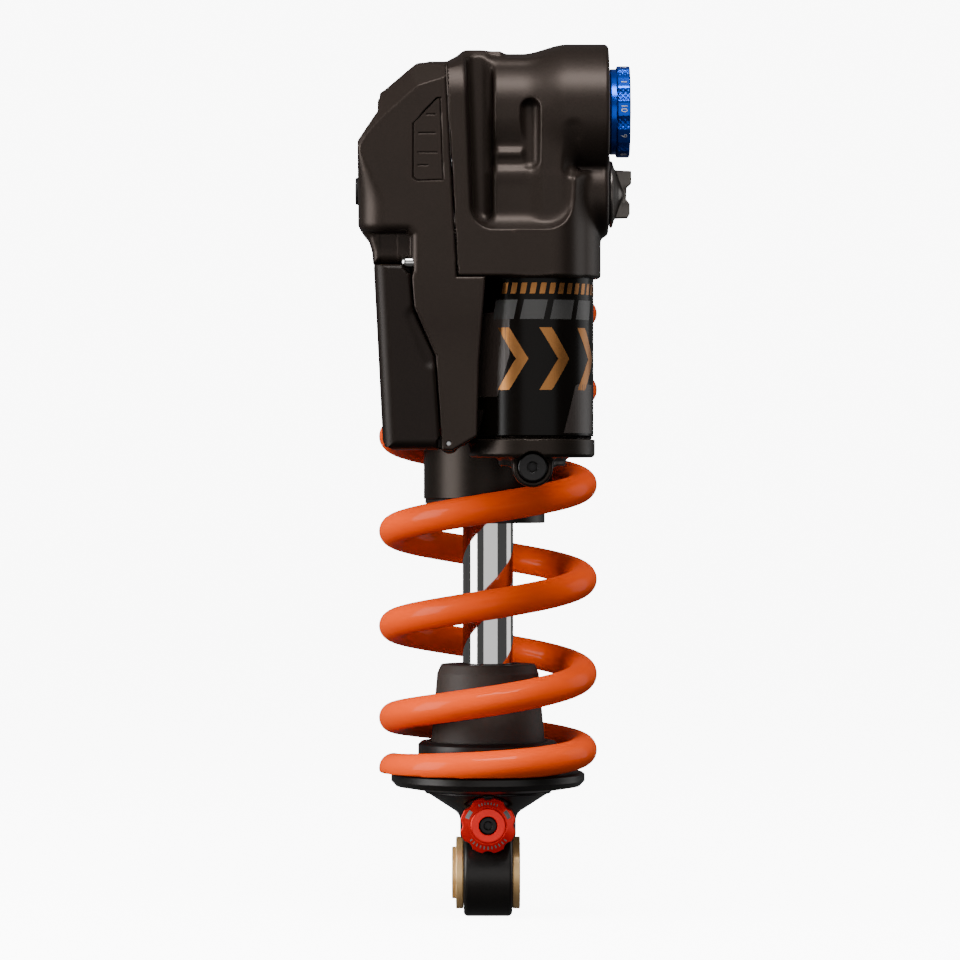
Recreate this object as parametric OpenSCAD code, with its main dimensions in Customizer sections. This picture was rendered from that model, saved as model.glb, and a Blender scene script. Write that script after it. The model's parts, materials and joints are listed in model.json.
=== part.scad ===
// Coil-over rear shock for a bicycle frame: trunnion head, piggyback reservoir and
// an electronic damping controller with a swing-out battery.
// The origin is the centre of the lower eye. +Z runs up the damper to the trunnion,
// +X runs along the eye bolt towards the adjuster dials, -Y faces the reservoir.
// Everything is in millimetres, drawn at full extension.

/* [Damper] */
// Distance from the lower eye to the trunnion axis
eye_to_trunnion = 185; // [185:1:190]
// Diameter of the polished damper shaft
shaft_d = 12.7; // [12:0.1:12.7]
// Outer diameter of the plain lower part of the damper tube
tube_d = 32.2; // [32:0.1:33]
// Outer diameter of the threaded upper part of the damper tube
thread_d = 36; // [35:0.5:37]
// Radial clearance of every shaft that turns or slides in its hole
fit = 0.05; // [0.02:0.01:0.09]

/* [Spring] */
// Outer diameter of the coil spring
spring_od = 55; // [54:0.5:56]
// Diameter of the spring wire
wire_d = 7.5; // [6.5:0.1:7.5]
// Height of the lower spring seat above the eye
seat_z = 25.3; // [25:0.1:26]
// Height of the spring between its two seats
spring_len = 120.2; // [118:0.1:120.4]
// Number of turns of the spring
spring_turns = 6; // [5.5:0.05:6.2]

/* [Lower eye] */
// Outer diameter of the eye
eye_d = 21.8; // [21:0.1:23]
// Width of the eye ring
eye_w = 12.2; // [12:0.1:12.4]
// Diameter of the bolt hole through the eye pin
bolt_d = 8; // [8:1:10]
// Length of the eye pin with its end caps
pin_len = 16.1; // [16:0.1:17]
// Diameter of the end caps
cap_d = 18; // [17:0.5:19]
// Diameter of the rebound knob
knob_d = 13.9; // [13:0.1:14.2]

/* [Reservoir] */
// Sideways offset of the reservoir from the damper axis
res_x = 10.5; // [10:0.5:11]
// Distance of the reservoir axis in front of the damper axis
res_front = 44; // [44:0.5:45]
// Outer diameter of the reservoir tube
res_d = 29.5; // [29:0.5:29.5]
// Bore of the reservoir tube
res_bore = 26; // [25:0.5:26]

/* [Head] */
// Distance across the two trunnion faces
trunnion_w = 54; // [54:0.5:55]
// Diameter of the trunnion bolt holes
trunnion_d = 10; // [10:1:10]
// Diameter of the numbered compression dial
dial_d = 22; // [20:0.5:22]
// Height of the compression dial axis above the eye
dial_z = 186.6; // [186:0.1:187]
// Height of the wing knob axis above the eye
wing_z = 166.8; // [166:0.1:167]

/* [Hidden] */
$fn = 64;
FINE = 32;

shaft_r = shaft_d / 2;
shaft_hole_r = shaft_r + fit;
tube_r = tube_d / 2;
thread_r = thread_d / 2;
res_y = -res_front;

// damper tube, from its lower end to the thread's end and to the top inside the head
tube_z0 = 93.5;
thread_z0 = 131;
thread_z1 = 160;
tube_z1 = 172;
tube_bore_r = 14.3;
sleeve_z0 = 104;
sleeve_z1 = 174.5;
sleeve_r = 13;
piston_bore_r = 11.8;
nose_z = 87.5;

// shaft, its piston stud and the pieces stacked on the stud
shaft_z0 = 16;
stud_z0 = 108;
shaft_z1 = 124;
stud_r = 4;
rod_hole_r = 2;
piston_z0 = 110;
piston_z1 = 118;
nut_z0 = 119.2;

// lower eyelet and the knob that sits in front of its neck
neck_r = 7;
neck_z1 = 14.7;
flange_r = 15.8;
flange_z = 20.6;
spigot_r = 10;
knob_z = 12.8;
knob_y0 = -14.6;
knob_y1 = -10.1;
knob_stem_r = 2.5;
pin_r = 6.45;
liner_r = 7.5;

// spring seats
hub_r = 17.5;
hub_z1 = 33;
bumper_z0 = 28;
bumper_z1 = 52.25;
bumper_r = 14.2;
spring_z1 = seat_z + spring_len;
upper_seat_h = 3;
collar_h = 8;
collar_z0 = spring_z1 + upper_seat_h + 0.1;
sweep_sides = 14;
rings_per_turn = 26;

// reservoir, from the end cap to the socket in the head
cap_z0 = 103.6;
cap_z1 = 108.7;
cap_r = 15.1;
cap_spigot_z1 = 113;
res_z1 = 152;
chamber_z1 = 170;
ifp_z0 = 128;
ifp_h = 8;
port_z = 101.3;
port_r = 4.8;
port_y0 = -56;
port_y1 = -40;

// head casting and the two adjusters on its right side
head_z0 = 146.5;
neck_x = 27;
face_x = 28.8;
front_y = -61;
bridge_z0 = 163;
head_top = 202;
dial_boss_r = 16.2;
wing_boss_r = 9.3;
cartridge_r = 9;
stem_r = 3;
wing_stem_r = 2.5;
pilot_z = 174;
pilot_r = 2;

// controller: a front shell with a leg that carries the battery hinge, and a rear cover
shell_y0 = -57.5;
shell_y1 = -36;
cover_y0 = -35;
cover_y1 = -21.5;
leg_y0 = -60.5;
leg_y1 = -33;
battery_y0 = -60;
battery_y1 = -31;
hinge_x = -9.4;
hinge_z = 106.9;
hinge_pin_r = 0.9;
knuckle_r = 2.3;
knuckle_y0 = -57.3;
knuckle_y1 = -35.3;
catch_x = -19.4;
catch_z = 149.8;
catch_y = -58.4;
catch_r = 1.35;
cell_x0 = -24;
cell_y0 = -57;
cell_z0 = 109.5;
cell_w = 8.4;
cell_depth = 22.6;
cell_h = 21.5;
cell_gap = 0.3;
button_z = 167.3;
button_y = -48;
button_r = 3.3;
collar_room_r = 28.3;
res_room_r = res_d / 2 + 0.6;

// ---------- helpers ----------

// A cylinder along X between two x positions
module along_x(r, x0, x1, y = 0, z = 0) {
    translate([x0, y, z]) rotate([0, 90, 0]) cylinder(r = r, h = x1 - x0);
}

// A cylinder along Y between two y positions
module along_y(r, y0, y1, x = 0, z = 0) {
    translate([x, y1, z]) rotate([90, 0, 0]) cylinder(r = r, h = y1 - y0);
}

// A cylinder along Z between two heights
module along_z(r, z0, z1, x = 0, y = 0) {
    translate([x, y, z0]) cylinder(r = r, h = z1 - z0);
}

// A plain ring about Z
module ring(r_out, r_in, z0, z1) {
    difference() {
        along_z(r_out, z0, z1);
        along_z(r_in, z0 - 1, z1 + 1);
    }
}

// A flat outline drawn in x and z, made solid from y0 to y1
module slab_y(points, y0, y1) {
    translate([0, y1, 0]) rotate([90, 0, 0]) linear_extrude(y1 - y0) polygon(points);
}

// A round seal with a circular section, about Z
module o_ring(mid_r, section_r, z, x = 0, y = 0) {
    translate([x, y, z]) rotate_extrude() translate([mid_r, 0]) circle(r = section_r, $fn = FINE);
}

// ---------- damper body ----------

// The head: damper cap with two trunnion arms, a bridge and the adjuster tower in front
module head_solid() {
    // damper cap
    along_z(20, thread_z1, head_top - 4);
    along_z(18.5, head_top - 4, head_top);
    // trunnion arms, rising to the cap
    slab_y([[-26.5, 178], [-26.5, 193.8], [-24, 193.8], [-14.5, head_top], [14.5, head_top],
            [24, 193.8], [26.5, 193.8], [26.5, 178], [19, 168], [-19, 168]], -9, 9);
    along_x(8.8, -26.5, 26.5, 0, eye_to_trunnion);
    along_x(7, -trunnion_w / 2, trunnion_w / 2, 0, eye_to_trunnion);
    // bridge between the cap and the tower
    translate([-8, -34, bridge_z0]) cube([30, 22, 33]);
    // reservoir socket, adjuster bosses and the flat band beside the controller
    along_z(neck_x - res_x, head_z0, 192, res_x, res_y);
    along_x(dial_boss_r, 6, face_x, res_y, dial_z);
    along_x(wing_boss_r, 8, face_x, res_y, wing_z);
    slab_y([[-7.2, head_z0], [-10.1, 200], [2.5, 200], [5, 196], [16, 196], [16, head_z0]],
           front_y, -29);
    slab_y([[5, bridge_z0], [5, 196], [24, 196], [24, bridge_z0]], -56, -29);
}

module head_casting() {
    color("#2e2622") difference() {
        head_solid();
        // damper bore in three steps, with its oil pocket
        along_z(tube_r, thread_z1 - 1, tube_z1);
        along_z(sleeve_r, tube_z1 - 1, sleeve_z1);
        along_z(piston_bore_r, sleeve_z1 - 1, 176);
        along_z(8, 175, 180.5);
        // trunnion bolt holes
        for (side = [-1, 1])
            translate([side * 13, 0, eye_to_trunnion]) rotate([0, side * 90, 0])
                cylinder(d = trunnion_d, h = 20);
        // reservoir socket and oil chamber
        along_z(res_d / 2, head_z0 - 1, res_z1, res_x, res_y);
        along_z(res_bore / 2, res_z1 - 1, chamber_z1, res_x, res_y);
        along_z(5, chamber_z1 - 1, dial_z - 4, res_x, res_y);
        // oil passage from the damper to the valve bore
        along_y(2.8, res_y, 0, 4.5, 178.4);
        // dial, wing knob and pilot valve bores
        along_x(cartridge_r, 6.5, face_x + 1, res_y, dial_z);
        along_x(wing_stem_r + fit, 13, face_x + 1, res_y, wing_z);
        along_x(pilot_r + fit, -12, 7, res_y, pilot_z);
        // bleed port on the top
        along_z(2.5, 193, head_top + 1, 0, -4);
        along_z(3.6, head_top - 2.2, head_top + 1, 0, -4);
        along_z(1, 179, 194, 0, -4);
    }
}

module body_tube() {
    color("#3a322d") difference() {
        union() {
            along_z(tube_r, tube_z0, tube_z1);
            along_z(thread_r, thread_z0, thread_z1);
        }
        along_z(tube_bore_r, tube_z0 - 1, tube_z1 + 1);
    }
}

module inner_tube() {
    color("silver") difference() {
        ring(sleeve_r, piston_bore_r, sleeve_z0, sleeve_z1);
        for (turn = [0:60:300])
            rotate([0, 0, turn]) along_x(1, 9, sleeve_r + 1, 0, sleeve_z0 + 4.5);
    }
}

module seal_head() {
    color("#1f1b19") difference() {
        union() {
            along_z(14.25, nose_z, 92.4);
            along_z(15.75, 92.4, tube_z0);
            along_z(tube_bore_r, tube_z0, sleeve_z0);
            along_z(piston_bore_r, sleeve_z0, sleeve_z0 + 3);
        }
        along_z(shaft_r + 0.25, nose_z - 1, sleeve_z0 + 4);
        along_z(9, nose_z - 1, 90.5);
        along_z(9.5, 91, 94.5);
        along_z(7.4, 96, sleeve_z0 + 4);
        ring(tube_bore_r + 1, 12.5, 98.1, 99.9);
    }
}

module shaft_bushing() {
    color("#b08d57") ring(7.4, shaft_hole_r, 96, sleeve_z0 + 3);
}

module shaft_seal() {
    color("#141414") ring(9.5, shaft_hole_r, 91, 94.5);
}

module shaft_wiper() {
    color("#141414") difference() {
        ring(9, shaft_hole_r, nose_z, 90.5);
        ring(8.2, 7.2, nose_z - 1, nose_z + 1.2);
    }
}

module seal_head_oring() {
    color("#141414") o_ring(13.4, 0.9, 99);
}

// ---------- coil spring ----------

// Height of the wire's centre after t turns: each end turn starts almost level,
// opens evenly over ramp_turns, and the turns between have one pitch
ramp_turns = 1.33;
end_pitch = 5.9;
end_height = 0.9;
wire_r = wire_d / 2;
rise = spring_len - 2 * end_height;
pitch = (rise - end_pitch * ramp_turns) / (spring_turns - ramp_turns);
function lead(t) =
    t < ramp_turns ?
        end_pitch * t + (pitch - end_pitch) * t * t / (2 * ramp_turns) :
        pitch * t - (pitch - end_pitch) * ramp_turns / 2;
function wire_z(t) =
    seat_z + end_height + (t < spring_turns / 2 ? lead(t) : rise - lead(spring_turns - t));

// One round section of the wire
function wire_ring(t) = [
    for (k = [0:sweep_sides - 1])
        let (
            a = 360 * k / sweep_sides,
            r = spring_od / 2 - wire_r + wire_r * cos(a),
            z = wire_z(t) + wire_r * sin(a),
            around = 180 + 360 * t
        )
        [r * cos(around), r * sin(around), z]
];

module coil_spring() {
    rings = round(spring_turns * rings_per_turn);
    points = [for (i = [0:rings]) each wire_ring(spring_turns * i / rings)];
    sides = [
        for (i = [0:rings - 1], k = [0:sweep_sides - 1])
            let (n = (k + 1) % sweep_sides, low = i * sweep_sides, high = low + sweep_sides)
            [low + k, low + n, high + n, high + k]
    ];
    first = [for (k = [sweep_sides - 1:-1:0]) k];
    last = [for (k = [0:sweep_sides - 1]) rings * sweep_sides + k];
    // both ends are ground flat at the seats
    color("#f05a00") intersection() {
        polyhedron(points = points, faces = concat(sides, [first, last]));
        along_z(spring_od, seat_z, spring_z1);
    }
}

// ---------- reservoir ----------

module reservoir_tube() {
    color("#141210") translate([res_x, res_y, 0]) ring(res_d / 2, res_bore / 2, cap_z1, res_z1);
}

module reservoir_cap() {
    color("#3a322d") difference() {
        union() {
            translate([res_x, res_y, 0]) rotate_extrude()
                polygon([[0, cap_z0], [cap_r - 0.6, cap_z0], [cap_r, cap_z0 + 0.6],
                         [cap_r, cap_z1 - 0.7], [res_d / 2, cap_z1], [res_bore / 2, cap_z1],
                         [res_bore / 2, cap_spigot_z1], [0, cap_spigot_z1]]);
            // fill-port boss under the cap
            along_y(port_r, port_y0, port_y1, res_x, port_z);
            translate([res_x - port_r, port_y0, port_z]) cube([2 * port_r, port_y1 - port_y0, 3]);
        }
        // groove for the O-ring
        translate([res_x, res_y, 0]) ring(res_bore / 2 + 1, 11.2, 109.8, 111.8);
        // threaded fill port and the gas passage up into the chamber
        along_y(2.5, port_y0 - 1, -47, res_x, port_z);
        along_y(3.65, port_y0 - 1, port_y0 + 0.8, res_x, port_z);
        along_z(0.8, port_z, cap_spigot_z1 + 1, res_x, -46.5);
    }
}

module reservoir_oring() {
    color("#141414") o_ring(res_bore / 2 - 0.9, 0.9, 110.8, res_x, res_y);
}

module fill_screw() {
    color("#1b1b1b") difference() {
        union() {
            along_y(3.5, port_y0 - 0.6, port_y0 + 0.8, res_x, port_z);
            along_y(2.5, port_y0 + 0.8, -48, res_x, port_z);
        }
        along_y(1.2, port_y0 - 1, port_y0 + 2, res_x, port_z, $fn = 6);
    }
}

module floating_piston() {
    color("#8a8d92") translate([res_x, res_y, 0]) difference() {
        along_z(res_bore / 2 - fit, ifp_z0, ifp_z0 + ifp_h);
        along_z(9, ifp_z0 - 1, ifp_z0 + 4.5);
        ring(res_bore / 2 + 1, 10.5, ifp_z0 + 2.8, ifp_z0 + 5.2);
    }
}

module piston_oring() {
    color("#141414") o_ring(res_bore / 2 - fit - 1.2, 1.2, ifp_z0 + 4, res_x, res_y);
}

// ---------- compression adjusters ----------

module compression_cartridge() {
    color("#2b4fa8") difference() {
        along_x(cartridge_r, 12, face_x + 0.1, res_y, dial_z);
        along_x(stem_r + fit, 11, face_x + 1, res_y, dial_z);
        along_x(6, 11, 14, res_y, dial_z);
    }
}

module base_valve() {
    color("#8a8d92") difference() {
        along_x(cartridge_r - 0.2, 7, 11.5, res_y, dial_z);
        for (turn = [0:60:300])
            translate([0, res_y, dial_z]) rotate([turn, 0, 0]) along_x(1.3, 6, 12, 6, 0);
    }
}

module bleed_screw() {
    color("#1b1b1b") difference() {
        union() {
            along_z(3.4, head_top - 2.2, head_top - 0.3, 0, -4);
            along_z(2.5, 195, head_top - 2.2, 0, -4);
        }
        translate([0, -4, head_top - 1.8]) cylinder(r = 1.4, h = 3, $fn = 6);
    }
}

module compression_dial() {
    knob_x0 = 30.6;
    knob_x1 = 33.9;
    notch_count = 10;
    color("#0a58b8") difference() {
        union() {
            along_x(dial_d / 2, knob_x0, knob_x1, res_y, dial_z);
            along_x(dial_d / 2 - 0.7, face_x + 0.3, knob_x0, res_y, dial_z);
            along_x(stem_r, 14.5, face_x + 0.3, res_y, dial_z);
        }
        // shallow grip notches between the numbered flats
        for (i = [0:notch_count - 1])
            translate([0, res_y, dial_z]) rotate([(i + 0.5) * 360 / notch_count, 0, 0])
                along_x(2.4, knob_x0 - 0.1, knob_x1 + 1, 0, dial_d / 2 + 1.9);
        along_x(3.2, knob_x1 - 1.2, knob_x1 + 1, res_y, dial_z);
        along_x(1.3, 26, knob_x1, res_y, dial_z);
    }
}

module dial_screw() {
    color("#1b1b1b") difference() {
        union() {
            along_x(3, 32.7, 33.7, res_y, dial_z);
            along_x(1.3, 26.5, 32.7, res_y, dial_z);
        }
        translate([33, res_y, dial_z]) rotate([0, 90, 0]) cylinder(r = 1.2, h = 2, $fn = 6);
    }
}

module wing_knob() {
    wing_w = 3.6;
    wing_half = 5.8;
    color("#3c3d40") difference() {
        union() {
            along_x(8, face_x + 0.3, 30.4, res_y, wing_z);
            translate([30.4, res_y - wing_w / 2, wing_z - wing_half])
                cube([3.9, wing_w, 2 * wing_half]);
            along_x(3.4, 30.4, 33.2, res_y, wing_z);
            along_x(wing_stem_r, 15, face_x + 0.3, res_y, wing_z);
        }
        // finger relief on both sides of the wing's middle
        for (side = [-1, 1])
            translate([34.6, res_y + side * 5, wing_z]) rotate([90, 0, 0])
                cylinder(r = 2.2, h = 5, center = true);
    }
}

// ---------- controller and battery ----------

// Outline of the controller's front face, which is smaller than the shell behind it
face_outline = [
    [-10.2, 195.6], [-16.7, 191.5], [-25.4, 183.8], [-28.8, 179.9], [-30.3, 177.5],
    [-30.4, 158.7], [-29.9, 157.3], [-28.5, 155.4], [-27.6, 152.5], [-27.4, 149.6],
    [-7.7, 149.6]
];
// Outline of the shell
shell_outline = [
    [-14.6, 199.4], [-10.4, 199.4], [-7.7, 149.6], [-27.4, 149.6], [-27.6, 152.5],
    [-28.6, 155.4], [-30.2, 157.2], [-31, 158.7], [-31, 178.5], [-26.3, 185.5],
    [-26.3, 188.5], [-24.5, 191]
];
// Outline of the leg that carries the battery hinge
leg_outline = [
    [-7.5, 146.3], [-0.6, 146.3], [-2.2, 126], [-2.6, 108.6], [-8.6, 105.1], [-11, 105.3],
    [-12.5, 127.5], [-17.5, 139], [-18.4, 149.6], [-18.4, 152], [-7.8, 152]
];
cover_outline = [
    [-14.6, 199.4], [-10.4, 199.4], [-8.5, 162.5], [-30.8, 162.5], [-30.8, 178.5],
    [-26.3, 185.3], [-26.3, 188.5], [-24.5, 191]
];
cavity_outline = [
    [-15.5, 190.5], [-13.8, 190.5], [-13.6, 164.5], [-25.8, 164.5], [-25.8, 181.5]
];
screw_places = [[-28.3, 167], [-28.3, 176], [-11.2, 166], [-12.1, 192]];

// Room that the spring collar, the reservoir and the battery hinge need
module controller_room() {
    along_z(collar_room_r, 90, 161.5);
    along_z(res_room_r, 90, head_z0 + 0.2, res_x, res_y);
    translate([hinge_x - 7, knuckle_y0 - 0.2, 98])
        cube([10, knuckle_y1 - knuckle_y0 + 0.4, hinge_z + 3.5 - 98]);
    along_y(hinge_pin_r, leg_y0 - 1, leg_y1 + 4, hinge_x, hinge_z);
}

module controller_housing() {
    color("#2b2421") difference() {
        union() {
            slab_y(face_outline, front_y, shell_y0);
            slab_y(shell_outline, shell_y0, shell_y1);
            slab_y(leg_outline, leg_y0, leg_y1);
        }
        controller_room();
        slab_y(cavity_outline, front_y + 2.5, shell_y1 + 1);
        // finger recess above the battery and the catch recess
        translate([-32, front_y - 1, 149]) cube([13.6, 5.5, 8]);
        along_y(2.2, front_y - 1, catch_y + 2.4, catch_x, catch_z);
        along_x(catch_r + fit, catch_x - 1, -13, catch_y, catch_z);
        // bores for the side button, the pilot plunger, the plate and the pins
        along_x(button_r + fit, -32, -25, button_y, button_z);
        along_x(pilot_r + fit, -14, -8, res_y, pilot_z);
        nameplate_shape(front_y - 1, front_y + 0.4);
        for (i = [0:3])
            along_z(0.8, 149, 165, -25 + 2.6 * i, -44);
        for (p = screw_places)
            along_y(1.25, -44, shell_y1 + 1, p[0], p[1]);
    }
}

module controller_gasket() {
    color("#141414") difference() {
        slab_y(cover_outline, shell_y1, cover_y0);
        slab_y(cavity_outline, shell_y1 - 1, cover_y0 + 1);
        for (p = screw_places)
            along_y(1.25, shell_y1 - 1, cover_y0 + 1, p[0], p[1]);
    }
}

module controller_cover() {
    color("#2b2421") difference() {
        slab_y(cover_outline, cover_y0, cover_y1);
        slab_y(cavity_outline, cover_y0 - 1, cover_y1 - 3);
        for (p = screw_places) {
            along_y(1.25, cover_y0 - 1, cover_y1 + 1, p[0], p[1]);
            along_y(2.3, cover_y1 - 2, cover_y1 + 1, p[0], p[1]);
        }
    }
}

module controller_screws() {
    color("#1b1b1b") for (p = screw_places) difference() {
        union() {
            along_y(1.25, -43, cover_y1 - 2, p[0], p[1]);
            along_y(2.2, cover_y1 - 2, cover_y1 - 0.3, p[0], p[1]);
        }
        along_y(0.9, cover_y1 - 1.5, cover_y1 + 1, p[0], p[1], $fn = 6);
    }
}

module circuit_board() {
    board_y = front_y + 4.5;
    color("#1d5c34") union() {
        slab_y(cavity_outline, board_y, board_y + 1.2);
        // chips and the button switch on the board
        translate([-23, board_y + 1.2, 170]) cube([5, 1, 4]);
        translate([-20, board_y + 1.2, 182]) cube([4, 1.6, 3]);
    }
}

module solenoid() {
    color("#8a8d92") difference() {
        along_x(5.5, -25.8, -14, res_y, pilot_z);
        along_x(pilot_r + fit, -21.5, -13, res_y, pilot_z);
    }
}

module pilot_plunger() {
    color("silver") union() {
        along_x(pilot_r, -20.4, 4.4, res_y, pilot_z);
        translate([4.4, res_y, pilot_z]) rotate([0, 90, 0]) cylinder(r1 = pilot_r, r2 = 0.6, h = 1);
    }
}

// Trapezoid plate let into the front of the controller
module nameplate_shape(y0, y1) {
    slab_y([[-12.2, 188.5], [-17.8, 182.6], [-17.8, 169.8], [-17, 169], [-10.7, 169.2],
            [-11.4, 188.5]], y0, y1);
}

module nameplate() {
    color("#241f1c") nameplate_shape(front_y + 0.1, front_y + 0.4);
}

module contact_pins() {
    color("#c9a227") for (i = [0:3]) along_z(0.8, 149.45, 160, -25 + 2.6 * i, -44);
}

module battery_pin() {
    color("silver") along_y(hinge_pin_r, leg_y0 + 0.1, leg_y1, hinge_x, hinge_z);
}

module battery_catch() {
    color("silver") union() {
        along_x(catch_r, catch_x, -15.4, catch_y, catch_z);
        intersection() {
            translate([catch_x, catch_y, catch_z]) sphere(r = catch_r);
            along_x(2 * catch_r, catch_x - 2 * catch_r, catch_x, catch_y, catch_z);
        }
    }
}

module side_button() {
    color("#1c1917") union() {
        along_x(button_r, -31.8, -28.2, button_y, button_z);
        along_x(1.2, -28.2, -26.6, button_y, button_z);
    }
}

module battery_case() {
    color("#2b2421") difference() {
        union() {
            difference() {
                slab_y([[-27.25, 149.3], [-25.1, 107.8], [-24.5, 106.2], [-22.8, 105.5],
                        [-11.2, 105.5], [-12.7, 127.6], [-17.7, 139.1], [-18.5, 149.3]],
                       battery_y0, battery_y1);
                along_y(2.8, battery_y0 - 1, battery_y1 + 1, hinge_x, hinge_z);
            }
            along_y(knuckle_r, knuckle_y0, knuckle_y1, hinge_x, hinge_z);
            translate([-14, knuckle_y0, 105.6]) cube([4.6, knuckle_y1 - knuckle_y0, 2.6]);
        }
        along_y(hinge_pin_r + fit, battery_y0 - 1, battery_y1 + 1, hinge_x, hinge_z);
        // notch for the catch, open towards the leg
        along_y(2.6, battery_y0 - 1, catch_y + 2.6, catch_x, catch_z);
        translate([catch_x, battery_y0 - 1, catch_z - 2.6]) cube([3, 5.2, 4]);
        // sealed room for the cell
        translate([cell_x0 - cell_gap, cell_y0 - cell_gap, cell_z0 - cell_gap])
            cube([cell_w + 2 * cell_gap, cell_depth + 2 * cell_gap, cell_h + 2 * cell_gap]);
    }
}

module battery_cell() {
    color("#9aa7b0") translate([cell_x0, cell_y0, cell_z0]) cube([cell_w, cell_depth, cell_h]);
}

// ---------- preload ----------

module upper_spring_seat() {
    color("#1f1b19") ring(26.3, thread_r + fit, spring_z1 + 0.05, spring_z1 + upper_seat_h);
}

module preload_collar() {
    notch_count = 6;
    color("#26211e") difference() {
        along_z(24.5, collar_z0, collar_z0 + collar_h);
        along_z(thread_r + fit, collar_z0 - 1, collar_z0 + collar_h + 1);
        for (i = [0:notch_count - 1])
            rotate([0, 0, (i + 0.5) * 360 / notch_count])
                translate([22.3, -2.5, collar_z0 + 2]) cube([5, 5, collar_h]);
        along_x(1.5, thread_r - 1, 27, 0, collar_z0 + collar_h / 2);
    }
}

module collar_screw() {
    color("#1b1b1b") difference() {
        along_x(1.5, thread_r + 0.2, 24, 0, collar_z0 + collar_h / 2);
        along_x(0.8, 22, 25, 0, collar_z0 + collar_h / 2, $fn = 6);
    }
}

// ---------- moving leg: shaft, piston and lower eye ----------

module shaft() {
    color("#d8d8d8") difference() {
        union() {
            along_z(shaft_r, shaft_z0, stud_z0);
            along_z(stud_r, stud_z0, shaft_z1);
        }
        along_z(rod_hole_r, shaft_z0 - 1, shaft_z1 + 1);
        along_x(1, -8, 8, 0, stud_z0 - 2);
    }
}

module main_piston() {
    color("#8a8d92") difference() {
        along_z(piston_bore_r - 0.2, piston_z0, piston_z1);
        along_z(stud_r, piston_z0 - 1, piston_z1 + 1);
        ring(piston_bore_r + 1, 10.8, piston_z0 + 1.5, piston_z1 - 1.5);
        for (turn = [0:60:300])
            rotate([0, 0, turn]) along_z(1.3, piston_z0 - 1, piston_z1 + 1, 7.4, 0);
    }
}

module piston_band() {
    color("#5b3a1e") ring(piston_bore_r - fit, 10.8, piston_z0 + 1.5, piston_z1 - 1.5);
}

// A stack of thin washers that narrows away from the piston
module shim_stack(z0, step, count) {
    for (i = [0:count - 1])
        ring(9 - 0.8 * i, stud_r, z0 + min(step * i, step * (i + 1)),
             z0 + max(step * i, step * (i + 1)));
}

module compression_shims() {
    color("silver") shim_stack(piston_z1, 0.3, 4);
}

module rebound_shims() {
    color("silver") shim_stack(piston_z0, -0.4, 5);
}

module piston_nut() {
    color("#6f7378") difference() {
        translate([0, 0, nut_z0]) cylinder(r = 6.4, h = 4, $fn = 6);
        along_z(stud_r, nut_z0 - 1, nut_z0 + 5);
    }
}

module lower_eyelet() {
    color("#161412") difference() {
        union() {
            along_x(eye_d / 2, -eye_w / 2, eye_w / 2);
            along_z(neck_r, 6, neck_z1);
            rotate_extrude()
                polygon([[0, neck_z1 - 1], [neck_r, neck_z1 - 1], [neck_r, neck_z1],
                         [flange_r, flange_z - 0.2], [flange_r, flange_z], [spigot_r, flange_z],
                         [spigot_r, 27], [0, 27]]);
            along_y(4.4, -10, 0, 0, knob_z);
        }
        along_x(liner_r, -eye_w, eye_w);
        // spot faces for the end caps and a pocket for the knob
        for (side = [0, 1])
            mirror([side, 0, 0]) along_x(cap_d / 2 + 0.4, eye_w / 2, neck_r + 1);
        along_y(knob_d / 2 + 0.65, -flange_r - 1, knob_y1 + 0.1, 0, knob_z);
        along_z(shaft_r, shaft_z0, 28);
        along_z(rod_hole_r, knob_z, shaft_z0 + 1);
        along_y(knob_stem_r + fit, -11, 2.2, 0, knob_z);
    }
}

module spring_retainer() {
    rim_r = 24.25;
    top_z = seat_z - 0.05;
    color("#161412") rotate_extrude()
        polygon([[spigot_r, flange_z], [flange_r, flange_z], [rim_r - 1.2, flange_z + 1.2],
                 [rim_r, flange_z + 2.5], [rim_r, top_z - 0.55], [rim_r - 0.5, top_z],
                 [hub_r + 0.3, top_z], [hub_r, top_z + 1], [hub_r, hub_z1 - 0.8],
                 [hub_r - 0.8, hub_z1],
                 [bumper_r + 0.8, hub_z1], [bumper_r + 0.1, hub_z1 - 0.8],
                 [bumper_r + 0.1, 27], [spigot_r, 27]]);
}

module bumper() {
    color("#241d19") rotate_extrude()
        polygon([[shaft_r + 0.2, bumper_z0], [bumper_r, bumper_z0], [bumper_r, hub_z1],
                 [12.75, 50], [11.7, bumper_z1], [shaft_r + 0.2, bumper_z1]]);
}

module bumper_washer() {
    color("#3a322d") ring(bumper_r, shaft_r + 0.1, 27, bumper_z0);
}

module eye_bushing() {
    color("#b08d57") difference() {
        along_x(liner_r, -eye_w / 2, eye_w / 2);
        along_x(pin_r + fit, -eye_w, eye_w);
    }
}

module eye_pin() {
    color("#c4a578") difference() {
        along_x(pin_r, -pin_len / 2, pin_len / 2);
        along_x(bolt_d / 2, -pin_len, pin_len);
    }
}

module eye_caps() {
    color("#c4a578") for (side = [0, 1]) mirror([side, 0, 0]) difference() {
        along_x(cap_d / 2, eye_w / 2 + 0.05, pin_len / 2 - 0.02);
        along_x(pin_r, 0, pin_len);
    }
}

module rebound_rod() {
    color("silver") union() {
        along_z(rod_hole_r - fit, knob_z + knob_stem_r + 0.2, 117);
        along_z(1.4, 117, 120);
        translate([0, 0, 120]) cylinder(r1 = 1.4, r2 = 0.4, h = 2);
    }
}

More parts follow.
